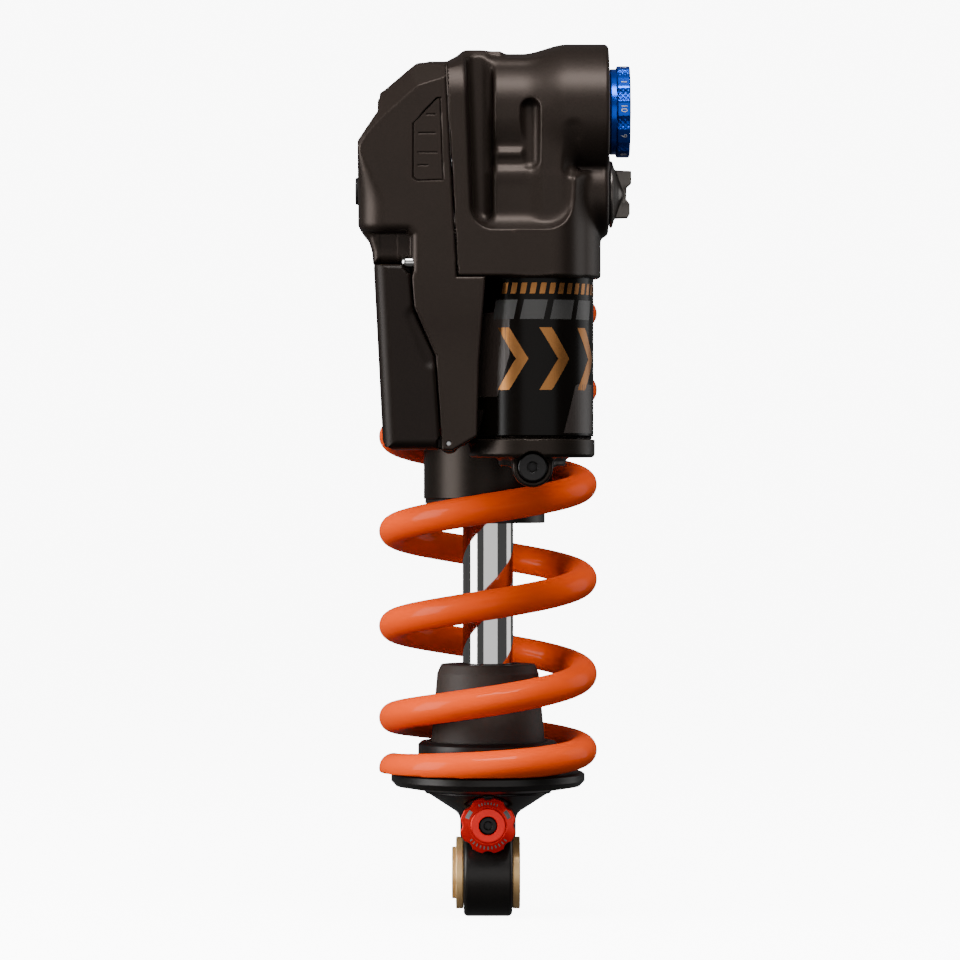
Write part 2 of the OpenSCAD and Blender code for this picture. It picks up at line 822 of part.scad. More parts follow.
module rebound_knob() {
    lobes = 8;
    color("#d8140c") difference() {
        union() {
            along_y(knob_d / 2, knob_y0, knob_y1, 0, knob_z);
            along_y(knob_stem_r, knob_y1, 2, 0, knob_z);
        }
        // finger scallops between the lobes
        for (i = [0:lobes - 1])
            translate([0, 0, knob_z]) rotate([0, i * 360 / lobes, 0])
                along_y(1.6, knob_y0 - 1, knob_y1 + 0.1, knob_d / 2 + 0.9, 0);
        along_y(2.3, knob_y0 - 1, knob_y0 + 1.2, 0, knob_z);
        along_y(1.2, knob_y0 - 1, knob_y0 + 6, 0, knob_z);
    }
}

module knob_screw() {
    color("#1b1b1b") difference() {
        union() {
            along_y(2.2, knob_y0 + 0.2, knob_y0 + 1.2, 0, knob_z);
            along_y(1.2, knob_y0 + 1.2, knob_y0 + 5.8, 0, knob_z);
        }
        along_y(1, knob_y0 - 1, knob_y0 + 0.9, 0, knob_z, $fn = 6);
    }
}

head_casting();
body_tube();
inner_tube();
seal_head();
shaft_bushing();
shaft_seal();
shaft_wiper();
seal_head_oring();
coil_spring();
reservoir_tube();
reservoir_cap();
reservoir_oring();
fill_screw();
compression_cartridge();
base_valve();
bleed_screw();
controller_housing();
controller_cover();
controller_gasket();
circuit_board();
controller_screws();
nameplate();
contact_pins();
battery_pin();
solenoid();
upper_spring_seat();
preload_collar();
collar_screw();
shaft();
main_piston();
piston_band();
compression_shims();
rebound_shims();
piston_nut();
lower_eyelet();
spring_retainer();
bumper();
bumper_washer();
eye_bushing();
rebound_rod();
rebound_knob();
knob_screw();
eye_pin();
eye_caps();
floating_piston();
piston_oring();
compression_dial();
dial_screw();
wing_knob();
battery_case();
battery_cell();
battery_catch();
side_button();
pilot_plunger();
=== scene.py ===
"""Rear shock: fine meshes, materials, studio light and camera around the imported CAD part.

Lengths are in millimetres until a mesh is made, when they become metres."""

import json
import math

import bmesh
import bpy
import numpy as np
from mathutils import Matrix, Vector


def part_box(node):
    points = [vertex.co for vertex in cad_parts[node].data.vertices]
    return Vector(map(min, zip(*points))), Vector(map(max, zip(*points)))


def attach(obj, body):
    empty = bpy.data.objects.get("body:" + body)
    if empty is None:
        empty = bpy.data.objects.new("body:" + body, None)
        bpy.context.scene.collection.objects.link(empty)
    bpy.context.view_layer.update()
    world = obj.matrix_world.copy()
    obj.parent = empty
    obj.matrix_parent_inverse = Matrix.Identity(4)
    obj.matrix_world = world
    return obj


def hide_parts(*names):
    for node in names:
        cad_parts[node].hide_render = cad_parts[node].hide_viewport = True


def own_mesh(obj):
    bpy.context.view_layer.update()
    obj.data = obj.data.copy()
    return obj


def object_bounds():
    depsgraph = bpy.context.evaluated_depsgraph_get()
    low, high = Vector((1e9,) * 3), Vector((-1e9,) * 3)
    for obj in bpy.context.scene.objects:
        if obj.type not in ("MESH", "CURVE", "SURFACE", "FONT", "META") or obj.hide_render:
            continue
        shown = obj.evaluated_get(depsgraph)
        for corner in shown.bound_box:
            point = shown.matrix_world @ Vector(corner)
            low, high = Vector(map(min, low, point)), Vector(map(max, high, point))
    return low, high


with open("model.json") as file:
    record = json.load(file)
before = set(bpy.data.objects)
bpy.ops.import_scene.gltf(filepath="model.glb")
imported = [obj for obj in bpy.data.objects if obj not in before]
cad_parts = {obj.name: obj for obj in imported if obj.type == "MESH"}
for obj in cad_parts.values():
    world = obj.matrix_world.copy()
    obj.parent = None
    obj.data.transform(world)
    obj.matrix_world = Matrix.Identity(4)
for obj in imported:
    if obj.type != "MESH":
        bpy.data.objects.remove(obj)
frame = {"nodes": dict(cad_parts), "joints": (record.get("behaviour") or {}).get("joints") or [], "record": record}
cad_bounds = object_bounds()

MM = 0.001
JOINTS = {j["name"]: j for j in frame["joints"]}
MOUNTS = {m["name"]: m for m in frame["record"]["mounts"]}


def node_box(node):
    """Lowest and highest corners of a CAD node, in mm."""
    low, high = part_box(node)
    return np.array(low) / MM, np.array(high) / MM


def pivot(joint):
    """A hinge's place in mm."""
    return np.array(JOINTS[joint]["pos_m"]) / MM


# Places and sizes that many pieces share
FRONT_Y = node_box("head_casting")[0][1]
FACE_X = node_box("head_casting")[1][0]
HEAD_TOP = node_box("head_casting")[1][2]
HEAD_Z0 = node_box("head_casting")[0][2]
RES_LOW, RES_HIGH = node_box("reservoir_tube")
RES_X, RES_Y = (RES_LOW[:2] + RES_HIGH[:2]) / 2
RES_R = (RES_HIGH[0] - RES_LOW[0]) / 2
DIAL = pivot("compression_dial_turn")
WING = pivot("wing_knob_turn")
KNOB = pivot("rebound_knob_turn")
HINGE = pivot("battery_tilt")
TRUNNION_Z = MOUNTS["trunnion_left"]["pos_m"][2] / MM
TRUNNION_R = MOUNTS["trunnion_left"]["dims"]["r_mm"]
TUBE_LOW, TUBE_HIGH = node_box("body_tube")
THREAD_R = TUBE_HIGH[0]
SPRING_LOW, SPRING_HIGH = node_box("coil_spring")
SHAFT_R = node_box("shaft")[1][0]


# ---------- camera ----------

def make_camera():
    """A level camera in front of the shock, at the photograph's distance and height."""
    data = bpy.data.cameras.new("camera")
    data.sensor_width = 36
    data.lens = 161
    camera = bpy.data.objects.new("camera", data)
    camera.location = (-0.002, -1.075, 0.09825)
    camera.rotation_euler = (math.radians(90), 0, 0)
    bpy.context.scene.collection.objects.link(camera)
    bpy.context.scene.camera = camera


make_camera()


# ---------- materials ----------

def shade(color, factor):
    """The colour made lighter or darker."""
    return [min(1, c * factor) for c in color]


def make_material(name, color, roughness, metallic=0.0, coat=0.0, tone=0.12, tone_size=9,
                  grain_size=0.3, grain=0.1, grain_depth=0.02, wear_and_highlight=0.0, streak=None,
                  rough_spread=0.06, specular=0.5):
    """A procedural finish: two tones in soft patches, a fine grain in colour, roughness and
    relief, and lighter sharp edges that are partly edge wear and partly a painted highlight.
    Sizes are in mm. streak stretches the grain along an axis as turning or brushing does."""
    mat = bpy.data.materials.new(name)
    mat.use_nodes = True
    nodes, links = mat.node_tree.nodes, mat.node_tree.links
    surface = nodes["Principled BSDF"]
    surface.inputs["Metallic"].default_value = metallic
    surface.inputs["Coat Weight"].default_value = coat
    surface.inputs["Coat Roughness"].default_value = 0.04
    surface.inputs["Specular IOR Level"].default_value = specular
    place = nodes.new("ShaderNodeTexCoord").outputs["Object"]
    patches = nodes.new("ShaderNodeTexNoise")
    patches.inputs["Scale"].default_value = 1 / (tone_size * MM)
    patches.inputs["Detail"].default_value = 4
    links.new(place, patches.inputs["Vector"])
    fine = nodes.new("ShaderNodeTexNoise")
    fine.inputs["Scale"].default_value = 1 / (grain_size * MM)
    fine.inputs["Detail"].default_value = 3
    fine.inputs["Roughness"].default_value = 0.6
    if streak:
        squeeze = nodes.new("ShaderNodeMapping")
        squeeze.inputs["Scale"].default_value = streak
        links.new(place, squeeze.inputs["Vector"])
        links.new(squeeze.outputs["Vector"], fine.inputs["Vector"])
    else:
        links.new(place, fine.inputs["Vector"])
    base = nodes.new("ShaderNodeMix")
    base.data_type = "RGBA"
    base.inputs["A"].default_value = (*shade(color, 1 - tone), 1)
    base.inputs["B"].default_value = (*shade(color, 1 + tone), 1)
    links.new(patches.outputs["Fac"], base.inputs["Factor"])
    speckle = nodes.new("ShaderNodeMix")
    speckle.data_type = "RGBA"
    speckle.blend_type = "OVERLAY"
    speckle.inputs["Factor"].default_value = grain
    links.new(base.outputs["Result"], speckle.inputs["A"])
    links.new(fine.outputs["Fac"], speckle.inputs["B"])
    result = speckle.outputs["Result"]
    # sharp edges found by pointiness are made lighter: partly edge wear, partly a painted highlight
    if wear_and_highlight:
        edge = nodes.new("ShaderNodeMapRange")
        edge.inputs["From Min"].default_value = 0.53
        edge.inputs["From Max"].default_value = 0.62
        edge.inputs["To Max"].default_value = wear_and_highlight
        links.new(nodes.new("ShaderNodeNewGeometry").outputs["Pointiness"], edge.inputs["Value"])
        rub_and_highlight = nodes.new("ShaderNodeMix")
        rub_and_highlight.data_type = "RGBA"
        rub_and_highlight.inputs["B"].default_value = (*shade(color, 2.2), 1)
        links.new(edge.outputs["Result"], rub_and_highlight.inputs["Factor"])
        links.new(result, rub_and_highlight.inputs["A"])
        result = rub_and_highlight.outputs["Result"]
    links.new(result, surface.inputs["Base Color"])
    rough = nodes.new("ShaderNodeMapRange")
    rough.inputs["To Min"].default_value = max(0.02, roughness - rough_spread)
    rough.inputs["To Max"].default_value = roughness + rough_spread
    links.new(fine.outputs["Fac"], rough.inputs["Value"])
    links.new(rough.outputs["Result"], surface.inputs["Roughness"])
    bump = nodes.new("ShaderNodeBump")
    bump.inputs["Strength"].default_value = 1
    bump.inputs["Distance"].default_value = grain_depth * MM
    links.new(fine.outputs["Fac"], bump.inputs["Height"])
    links.new(bump.outputs["Normal"], surface.inputs["Normal"])
    return mat


BROWN = (0.018, 0.0125, 0.0098)
MATERIALS = {
    "cast_black": make_material("cast_black", BROWN, 0.4, 0.55, grain_size=0.22, grain=0.3,
                                grain_depth=0.012, wear_and_highlight=0.25, tone=0.1, specular=0.2),
    "anodised_dark": make_material("anodised_dark", (0.0145, 0.0105, 0.0082), 0.36, 0.6,
                                   grain_size=0.2, grain_depth=0.004, wear_and_highlight=0.2, specular=0.18,
                                   streak=(0.15, 0.15, 1)),
    "black_satin": make_material("black_satin", (0.0095, 0.0076, 0.0068), 0.38, 0.3,
                                 specular=0.35, grain_size=0.25, grain_depth=0.004, wear_and_highlight=0.2),
    "steel_bright": make_material("steel_bright", (0.5, 0.49, 0.48), 0.06, 1.0, tone=0.03,
                                  grain_size=0.4, grain=0.02, grain_depth=0.0004,
                                  rough_spread=0.02, streak=(1, 1, 0.05)),
    "steel_plain": make_material("steel_plain", (0.32, 0.32, 0.325), 0.3, 1.0, tone=0.08,
                                 grain_size=0.3, grain_depth=0.002),
    "aluminium_plain": make_material("aluminium_plain", (0.4, 0.405, 0.415), 0.34, 1.0,
                                     tone=0.06, grain_size=0.25, grain_depth=0.003,
                                     streak=(0.2, 0.2, 1)),
    "spring_orange": make_material("spring_orange", (0.74, 0.062, 0.0), 0.5, coat=0.12,
                                   tone=0.05, tone_size=14, grain_size=1.6, grain=0.05,
                                   grain_depth=0.004, rough_spread=0.03, specular=0.04),
    "reservoir_black": make_material("reservoir_black", (0.002, 0.0014, 0.001), 0.24,
                                     tone=0.1, grain_size=0.5, grain_depth=0.0006,
                                     rough_spread=0.03, specular=0.1),
    "foil_copper": make_material("foil_copper", (0.25, 0.105, 0.03), 0.34, 0.85, tone=0.08,
                                 grain_size=0.18, grain_depth=0.002, streak=(1, 1, 0.08)),
    "print_brown": make_material("print_brown", (0.017, 0.0115, 0.0095), 0.42, 0.2,
                                 grain_size=0.2, grain_depth=0.002),
    "print_grey": make_material("print_grey", (0.026, 0.025, 0.024), 0.4, 0.3,
                                grain_size=0.2, grain_depth=0.002),
    "rubber_black": make_material("rubber_black", (0.0075, 0.0066, 0.0063), 0.62,
                                  grain_size=0.35, grain_depth=0.012, specular=0.2),
    "bumper_foam": make_material("bumper_foam", (0.027, 0.0185, 0.0145), 0.6, tone=0.18,
                                 grain_size=0.35, grain=0.25, grain_depth=0.03, specular=0.3),
    "bronze_liner": make_material("bronze_liner", (0.25, 0.165, 0.075), 0.35, 0.9,
                                  grain_size=0.25, grain_depth=0.003),
    "cap_gold": make_material("cap_gold", (0.72, 0.46, 0.2), 0.42, 0.5, tone=0.06,
                              grain_size=0.3, grain_depth=0.003, streak=(1, 0.12, 0.12),
                              wear_and_highlight=0.15),
    "red_anodised": make_material("red_anodised", (0.7, 0.005, 0.002), 0.3, 0.6, tone=0.05,
                                  grain_size=0.2, grain_depth=0.0015, wear_and_highlight=0.2),
    "blue_anodised": make_material("blue_anodised", (0.001, 0.045, 0.4), 0.22, 0.8, tone=0.06,
                                   grain_size=0.2, grain_depth=0.0015, wear_and_highlight=0.25),
    "gunmetal": make_material("gunmetal", (0.065, 0.057, 0.051), 0.3, 0.8, tone=0.08,
                              grain_size=0.25, grain_depth=0.002, wear_and_highlight=0.2),
    "screw_black": make_material("screw_black", (0.009, 0.0082, 0.008), 0.32, 0.7,
                                 grain_size=0.15, grain_depth=0.002, wear_and_highlight=0.3),
    "shell_plastic": make_material("shell_plastic", (0.0075, 0.0048, 0.0036), 0.42, 0.25,
                                   grain_size=0.22, grain=0.15, grain_depth=0.006, wear_and_highlight=0.15,
                                   specular=0.13),
    "mark_grey": make_material("mark_grey", (0.16, 0.155, 0.15), 0.5, 0.3, grain_size=0.12,
                               grain_depth=0.002),
    "mark_white": make_material("mark_white", (0.34, 0.33, 0.31), 0.55, grain_size=0.12,
                                grain_depth=0.002),
    "board_green": make_material("board_green", (0.006, 0.05, 0.018), 0.3, coat=0.3,
                                 grain_size=0.4, grain=0.2, grain_depth=0.006),
    "gold_contact": make_material("gold_contact", (0.5, 0.32, 0.08), 0.2, 1.0, grain_size=0.1,
                                  grain_depth=0.001),
    "cell_wrap": make_material("cell_wrap", (0.12, 0.16, 0.2), 0.3, coat=0.3, grain_size=0.6,
                               grain_depth=0.01),
    "ptfe_brown": make_material("ptfe_brown", (0.08, 0.037, 0.014), 0.55, grain_size=0.2,
                                grain_depth=0.004),
}


# ---------- making meshes ----------

def add_piece(name, points, faces, material, body, stands_for=(), normals=None):
    """A mesh object from points in mm, riding on a CAD body."""
    faces = np.asarray(faces)
    mesh = bpy.data.meshes.new(name)
    mesh.vertices.add(len(points))
    mesh.vertices.foreach_set("co", (np.asarray(points, float) * MM).ravel())
    rows = [face[face >= 0] for face in faces] if (faces < 0).any() else faces
    lengths = np.array([len(row) for row in rows]) if isinstance(rows, list) else \
        np.full(len(faces), faces.shape[1])
    corners = np.concatenate(rows) if isinstance(rows, list) else faces.ravel()
    mesh.loops.add(len(corners))
    mesh.loops.foreach_set("vertex_index", corners.astype(np.int32))
    mesh.polygons.add(len(faces))
    mesh.polygons.foreach_set("loop_start", (np.cumsum(lengths) - lengths).astype(np.int32))
    mesh.update(calc_edges=True)
    mesh.validate()
    mesh.shade_smooth()
    if normals is not None:
        mesh.normals_split_custom_set_from_vertices(np.asarray(normals).tolist())
    mesh.materials.append(MATERIALS[material])
    piece = bpy.data.objects.new(name, mesh)
    bpy.context.scene.collection.objects.link(piece)
    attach(piece, body)
    if stands_for:
        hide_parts(*stands_for)
    return piece


def merge(parts):
    """Several (points, faces, normals) as one, with -1 filling the shorter faces."""
    width = max(f.shape[1] for _, f, _ in parts)
    points, faces, normals, count = [], [], [], 0
    for p, f, n in parts:
        padded = np.full((len(f), width), -1)
        padded[:, :f.shape[1]] = np.where(f >= 0, f + count, -1)
        points.append(p)
        faces.append(padded)
        normals.append(n)
        count += len(p)
    return np.concatenate(points), np.concatenate(faces), np.concatenate(normals)


def soft(corners, radius, steps=4, closed=True):
    """A profile with every corner rounded. It runs anticlockwise, and each point comes with
    the outward normal there: rows of (r, h, normal r, normal h)."""
    corners = [tuple(c) if len(c) == 3 else (*c, radius) for c in corners]
    count = len(corners)
    rows = []
    for i, (r, h, size) in enumerate(corners):
        here = np.array([r, h])
        before = np.array(corners[i - 1][:2]) - here
        after = np.array(corners[(i + 1) % count][:2]) - here
        first, last = not closed and i == 0, not closed and i == count - 1
        if first or last:
            along = after / np.hypot(*after) if first else -before / np.hypot(*before)
            rows.append([r, h, along[1], -along[0]])
            continue
        reach_in, reach_out = np.hypot(*before), np.hypot(*after)
        way_in, way_out = -before / reach_in, after / reach_out
        turn = math.atan2(way_in[0] * way_out[1] - way_in[1] * way_out[0], way_in @ way_out)
        cut = min(size * abs(math.tan(turn / 2)), 0.45 * min(reach_in, reach_out))
        start = here - way_in * cut
        end = here + way_out * cut
        for step in range(steps + 1):
            t = step / steps
            angle = turn * t
            spot = (1 - t) ** 2 * start + 2 * t * (1 - t) * here + t * t * end
            normal = np.array([way_in[1], -way_in[0]])
            cos, sin = math.cos(angle), math.sin(angle)
            rows.append([*spot, cos * normal[0] - sin * normal[1],
                         sin * normal[0] + cos * normal[1]])
    return np.array(rows)


def stand_up(local, axis, centre):
    """Puts points or normals that were made about local z on the x, y or z axis."""
    order = {"x": (2, 0, 1), "y": (1, 2, 0), "z": (0, 1, 2)}[axis]
    return local[:, order] + np.asarray(centre)


def lathe(rows, axis="z", centre=(0, 0, 0), segments=144, closed=True):
    """Turns a soft profile about an axis: points, faces and normals."""
    around = np.arange(segments) * 2 * math.pi / segments
    cos, sin = np.cos(around), np.sin(around)
    points = np.stack([np.outer(rows[:, 0], cos), np.outer(rows[:, 0], sin),
                       np.repeat(rows[:, 1:2], segments, 1)], -1).reshape(-1, 3)
    normals = np.stack([np.outer(rows[:, 2], cos), np.outer(rows[:, 2], sin),
                        np.repeat(rows[:, 3:4], segments, 1)], -1).reshape(-1, 3)
    count = len(rows)
    ring = np.arange(count if closed else count - 1)[:, None]
    spot = np.arange(segments)[None, :]
    above, beside = (ring + 1) % count, (spot + 1) % segments
    faces = np.stack([ring * segments + spot, ring * segments + beside,
                      above * segments + beside, above * segments + spot], -1).reshape(-1, 4)
    if not closed:
        # each end on the axis is one point, so its ring of faces are triangles
        tip, top = 0, (count - 1) * segments
        faces = np.where(faces < segments, tip, faces)
        faces = np.where(faces >= top, top, faces)
        low = faces[:, 0] == faces[:, 1]
        high = faces[:, 2] == faces[:, 3]
        faces[low] = np.stack([faces[low, 0], faces[low, 2], faces[low, 3],
                               np.full(low.sum(), -1)], -1)
        faces[high] = np.stack([faces[high, 0], faces[high, 1], faces[high, 2],
                                np.full(high.sum(), -1)], -1)
        used = np.unique(faces[faces >= 0])
        rename = np.full(len(points), -1)
        rename[used] = np.arange(len(used))
        faces = np.where(faces >= 0, rename[faces], -1)
        points, normals = points[used], normals[used]
    return stand_up(points, axis, centre), faces, stand_up(normals, axis, (0, 0, 0))


# ---------- fields: signed distances in mm, negative inside ----------

def size(*parts):
    return np.sqrt(sum(p * p for p in parts))


def slab(v, low, high):
    return np.abs(v - (low + high) / 2) - (high - low) / 2


def meet(a, b, edge=0.0):
    """Where both are, with its edge rounded."""
    if not edge:
        return np.maximum(a, b)
    a, b = a + edge, b + edge
    return np.minimum(np.maximum(a, b), 0) + size(np.maximum(a, 0), np.maximum(b, 0)) - edge


def melt(a, b, width):
    """Where either is, flowing together over a width."""
    h = np.clip(0.5 + 0.5 * (b - a) / width, 0, 1)
    return b + (a - b) * h - width * h * (1 - h)


def carve(a, b, width=0.0):
    """a without b."""
    return -melt(-a, b, width) if width else np.maximum(a, -b)


def disc(u, v, centre, r):
    return size(u - centre[0], v - centre[1]) - r


def rod(u, v, w, centre, r, low, high, edge=0.5):
    """A round bar along w."""
    return meet(disc(u, v, centre, r), slab(w, low, high), edge)


def block(x, y, z, low, high, edge=0.5):
    """A box with rounded edges."""
    parts = [slab(v, a, b) + edge for v, a, b in zip((x, y, z), low, high)]
    outside = size(*[np.maximum(p, 0) for p in parts])
    return outside + np.minimum(np.maximum(np.maximum(parts[0], parts[1]), parts[2]), 0) - edge


def capsule(x, y, z, start, end, r):
    """A bar with round ends."""
    start, way = np.array(start, float), np.subtract(end, start).astype(float)
    t = ((x - start[0]) * way[0] + (y - start[1]) * way[1] + (z - start[2]) * way[2])
    t = np.clip(t / (way @ way), 0, 1)
    return size(*[v - s - w * t for v, s, w in zip((x, y, z), start, way)]) - r


def outline(u, v, corners):
    """A flat polygon."""
    nearest, inside = np.inf, False
    for (au, av), (bu, bv) in zip(corners, corners[1:] + corners[:1]):
        eu, ev, wu, wv = bu - au, bv - av, u - au, v - av
        t = np.clip((wu * eu + wv * ev) / (eu * eu + ev * ev), 0, 1)
        nearest = np.minimum(nearest, (wu - eu * t) ** 2 + (wv - ev * t) ** 2)
        left = eu * wv > ev * wu
        above, below = v >= av, v < bv
        inside = inside ^ ((above & below & left) | (~above & ~below & ~left))
    return np.where(inside, -1, 1) * np.sqrt(nearest)


def beyond(a, b, start, way):
    """The side of a slanting line that its normal, way, points to is outside."""
    norm = math.hypot(*way)
    return ((a - start[0]) * way[0] + (b - start[1]) * way[1]) / norm


CORNERS = np.array([(i, j, k) for i in (0, 1) for j in (0, 1) for k in (0, 1)])
EDGES = [(a, b) for a in range(8) for b in range(a + 1, 8)
         if np.abs(CORNERS[a] - CORNERS[b]).sum() == 1]


def slope(field, p, reach):
    """The field's gradient at points."""
    steps = np.eye(3) * reach
    return np.stack([(field(*(p + s).T) - field(*(p - s).T)) for s in steps], -1) / (2 * reach)


def surface_of(field, low, high, step):
    """The surface where a field is zero, on a grid of the given step, as surface nets
    drawn onto the field: points, faces and normals."""
    axes = [np.arange(a - 2 * step, b + 2.5 * step, step) for a, b in zip(low, high)]
    shape = [len(a) for a in axes]
    x, y, z = np.meshgrid(*axes, indexing="ij", sparse=True)
    values = np.ascontiguousarray(np.broadcast_to(field(x, y, z), shape))
    inside = values < 0
    cells = [n - 1 for n in shape]
    count = np.zeros(cells, np.int8)
    for i, j, k in CORNERS:
        count += inside[i:i + cells[0], j:j + cells[1], k:k + cells[2]]
    spots = np.argwhere((count > 0) & (count < 8))
    index = np.full(cells, -1, np.int32)
    index[tuple(spots.T)] = np.arange(len(spots))
    at_corner = np.stack([values[tuple((spots + c).T)] for c in CORNERS], 1)
    total, hits = np.zeros((len(spots), 3)), np.zeros(len(spots))
    for a, b in EDGES:
        fa, fb = at_corner[:, a], at_corner[:, b]
        crosses = (fa < 0) != (fb < 0)
        t = np.where(crosses, fa / np.where(crosses, fa - fb, 1), 0)
        total += crosses[:, None] * (CORNERS[a] + t[:, None] * (CORNERS[b] - CORNERS[a]))
        hits += crosses
    points = np.array([a[0] for a in axes]) + (spots + total / hits[:, None]) * step
    quads = []
    for axis in range(3):
        grid = np.moveaxis(inside, axis, 0)[:, 1:-1, 1:-1]
        ids = np.moveaxis(index, axis, 0)
        a, b, c = np.nonzero(grid[:-1] != grid[1:])
        ring = np.stack([ids[a, b, c], ids[a, b + 1, c], ids[a, b + 1, c + 1], ids[a, b, c + 1]], 1)
        backwards = ~grid[a, b, c] ^ (axis == 1)
        quads.append(np.where(backwards[:, None], ring[:, ::-1], ring))
    for _ in range(3):
        gradient = slope(field, points, 0.05 * step)
        pull = field(*points.T)[:, None] * gradient / (gradient ** 2).sum(1, keepdims=True).clip(0.2)
        points -= pull.clip(-0.5 * step, 0.5 * step)
    normals = slope(field, points, 0.3 * step)
    normals /= size(*normals.T)[:, None].clip(1e-9)
    return points, np.concatenate(quads), normals


def cast(name, field, low, high, step, material, body, stands_for=()):
    """A piece whose shape is a field."""
    points, faces, normals = surface_of(field, low, high, step)
    return add_piece(name, points, faces, material, body, stands_for, normals)


def turned(name, profile, material, body, stands_for=(), axis="z", centre=(0, 0, 0),
           radius=0.3, segments=144, closed=True, steps=4):
    """A piece turned from a profile of (r, h) corners."""
    parts = lathe(soft(profile, radius, steps, closed), axis, centre, segments, closed)
    return add_piece(name, parts[0], parts[1], material, body, stands_for, parts[2])


# ---------- damper head ----------

# The seam between the head and the controller leans left as it rises
SEAM = ((-7.2, HEAD_Z0), (-10.1, 198.0))
SEAM_GAP = 0.15
POCKET_Y = FRONT_Y + 3.6
GROOVE_Y = FRONT_Y + 8.5
CAP_R = 20
HEAD_BOSS_R = HEAD_TOP - DIAL[2]
ARM_HALF = 9
CAP_TOP = node_box("bleed_screw")[1][2]
SLEEVE = node_box("inner_tube")[1]
BAND_R = node_box("piston_band")[1][0]


def head_tower(x, y, z):
    """The tower in front of the damper, which holds the reservoir and both adjusters."""
    seam = beyond(x, z, SEAM[0], (SEAM[0][1] - SEAM[1][1], SEAM[1][0] - SEAM[0][0]))
    # the flat front: a band beside the controller and the wall over the reservoir
    wall = meet(slab(y, FRONT_Y, -29), x - 21.8, 7)
    wall = meet(wall, HEAD_Z0 - z, 0.6)
    wall = meet(wall, z - 200.2, 0.5)
    wall = meet(wall, beyond(x, z, (-6.3, 200.2), (-2.2, 3.7)), 0.3)
    wall = meet(wall, beyond(y, z, (FRONT_Y, 193.7), (-1, 1)), 3.5)
    wall = melt(wall, rod(x, y, z, (RES_X, RES_Y), 16.5, HEAD_Z0, 172, 0.8), 1.5)
    # the pocket in that face, with a deeper groove along its left side
    left = beyond(x, z, (-4.4, 175), (-36, -1.4))
    pocket = meet(meet(left, 157.4 - z, 4.8), beyond(x, z, (22.4, 166), (9, -1)), 8)
    shape = carve(wall, meet(pocket, y - POCKET_Y, 5), 0.5)
    groove = meet(meet(left, 159.5 - z, 3.5), x - 1.0 + (z - 160) * 0.01, 2.2)
    # above the lower ledge only the band and the groove's floor remain
    shape = meet(shape, np.minimum(z - 172.5, x - 0.4), 2.6)
    top = meet(slab(y, -51, -29), slab(x, -6, 3.4), 1)
    shape = melt(shape, meet(top, np.maximum(z - 200.6, 165 - z), 0.6), 2)
    # what stands up in the pocket: dial boss, ledges and the wing knob's boss
    rise = np.clip((x - 8) / 11, 0, 1)
    boss_r = 13.9 + (HEAD_BOSS_R - 13.9) * rise * rise * (3 - 2 * rise)
    dial_boss = meet(disc(y, z, (RES_Y, DIAL[2]), 0) - boss_r, slab(x, 0.8, FACE_X), 1.1)
    low = rod(y, z, x, (RES_Y, WING[2]), 10.3, 20.6, FACE_X, 1.4)
    bosses = melt(dial_boss, low, 1.2)
    bosses = melt(bosses, block(x, y, z, (0.6, -55.8, 158), (19, -34, 186), 2.4), 3)
    bosses = melt(bosses, block(x, y, z, (0.6, -57.2, 168), (10.5, -34, 177.4), 2.3), 1.2)
    bosses = melt(bosses, block(x, y, z, (10.6, -57.9, 158), (19.4, -34, 188), 2.6), 2.4)
    bosses = carve(bosses, capsule(x, y, z, (-2, -58.6, 173.6), (8.2, -58.6, 173.6), 1.9), 1.1)
    behind = block(x, y, z, (-7, -52.5, 150), (21, -29, 198.6), 1.5)
    shape = melt(melt(shape, bosses, 1.4), behind, 1.5)
    shape = carve(shape, meet(groove, y - GROOVE_Y, 2.6), 1.5)
    shape = np.maximum(shape, seam + SEAM_GAP)
    # a long oval dent beside the ledges and a soft hollow beside the dial boss
    shape = carve(shape, capsule(x, y, z, (9.9, -58.3, 174.2), (9.9, -58.1, 186.4), 2.3), 0.6)
    return carve(shape, capsule(x, y, z, (20, -57.8, 172.4), (20, -61.4, 181), 1.5), 2.2)


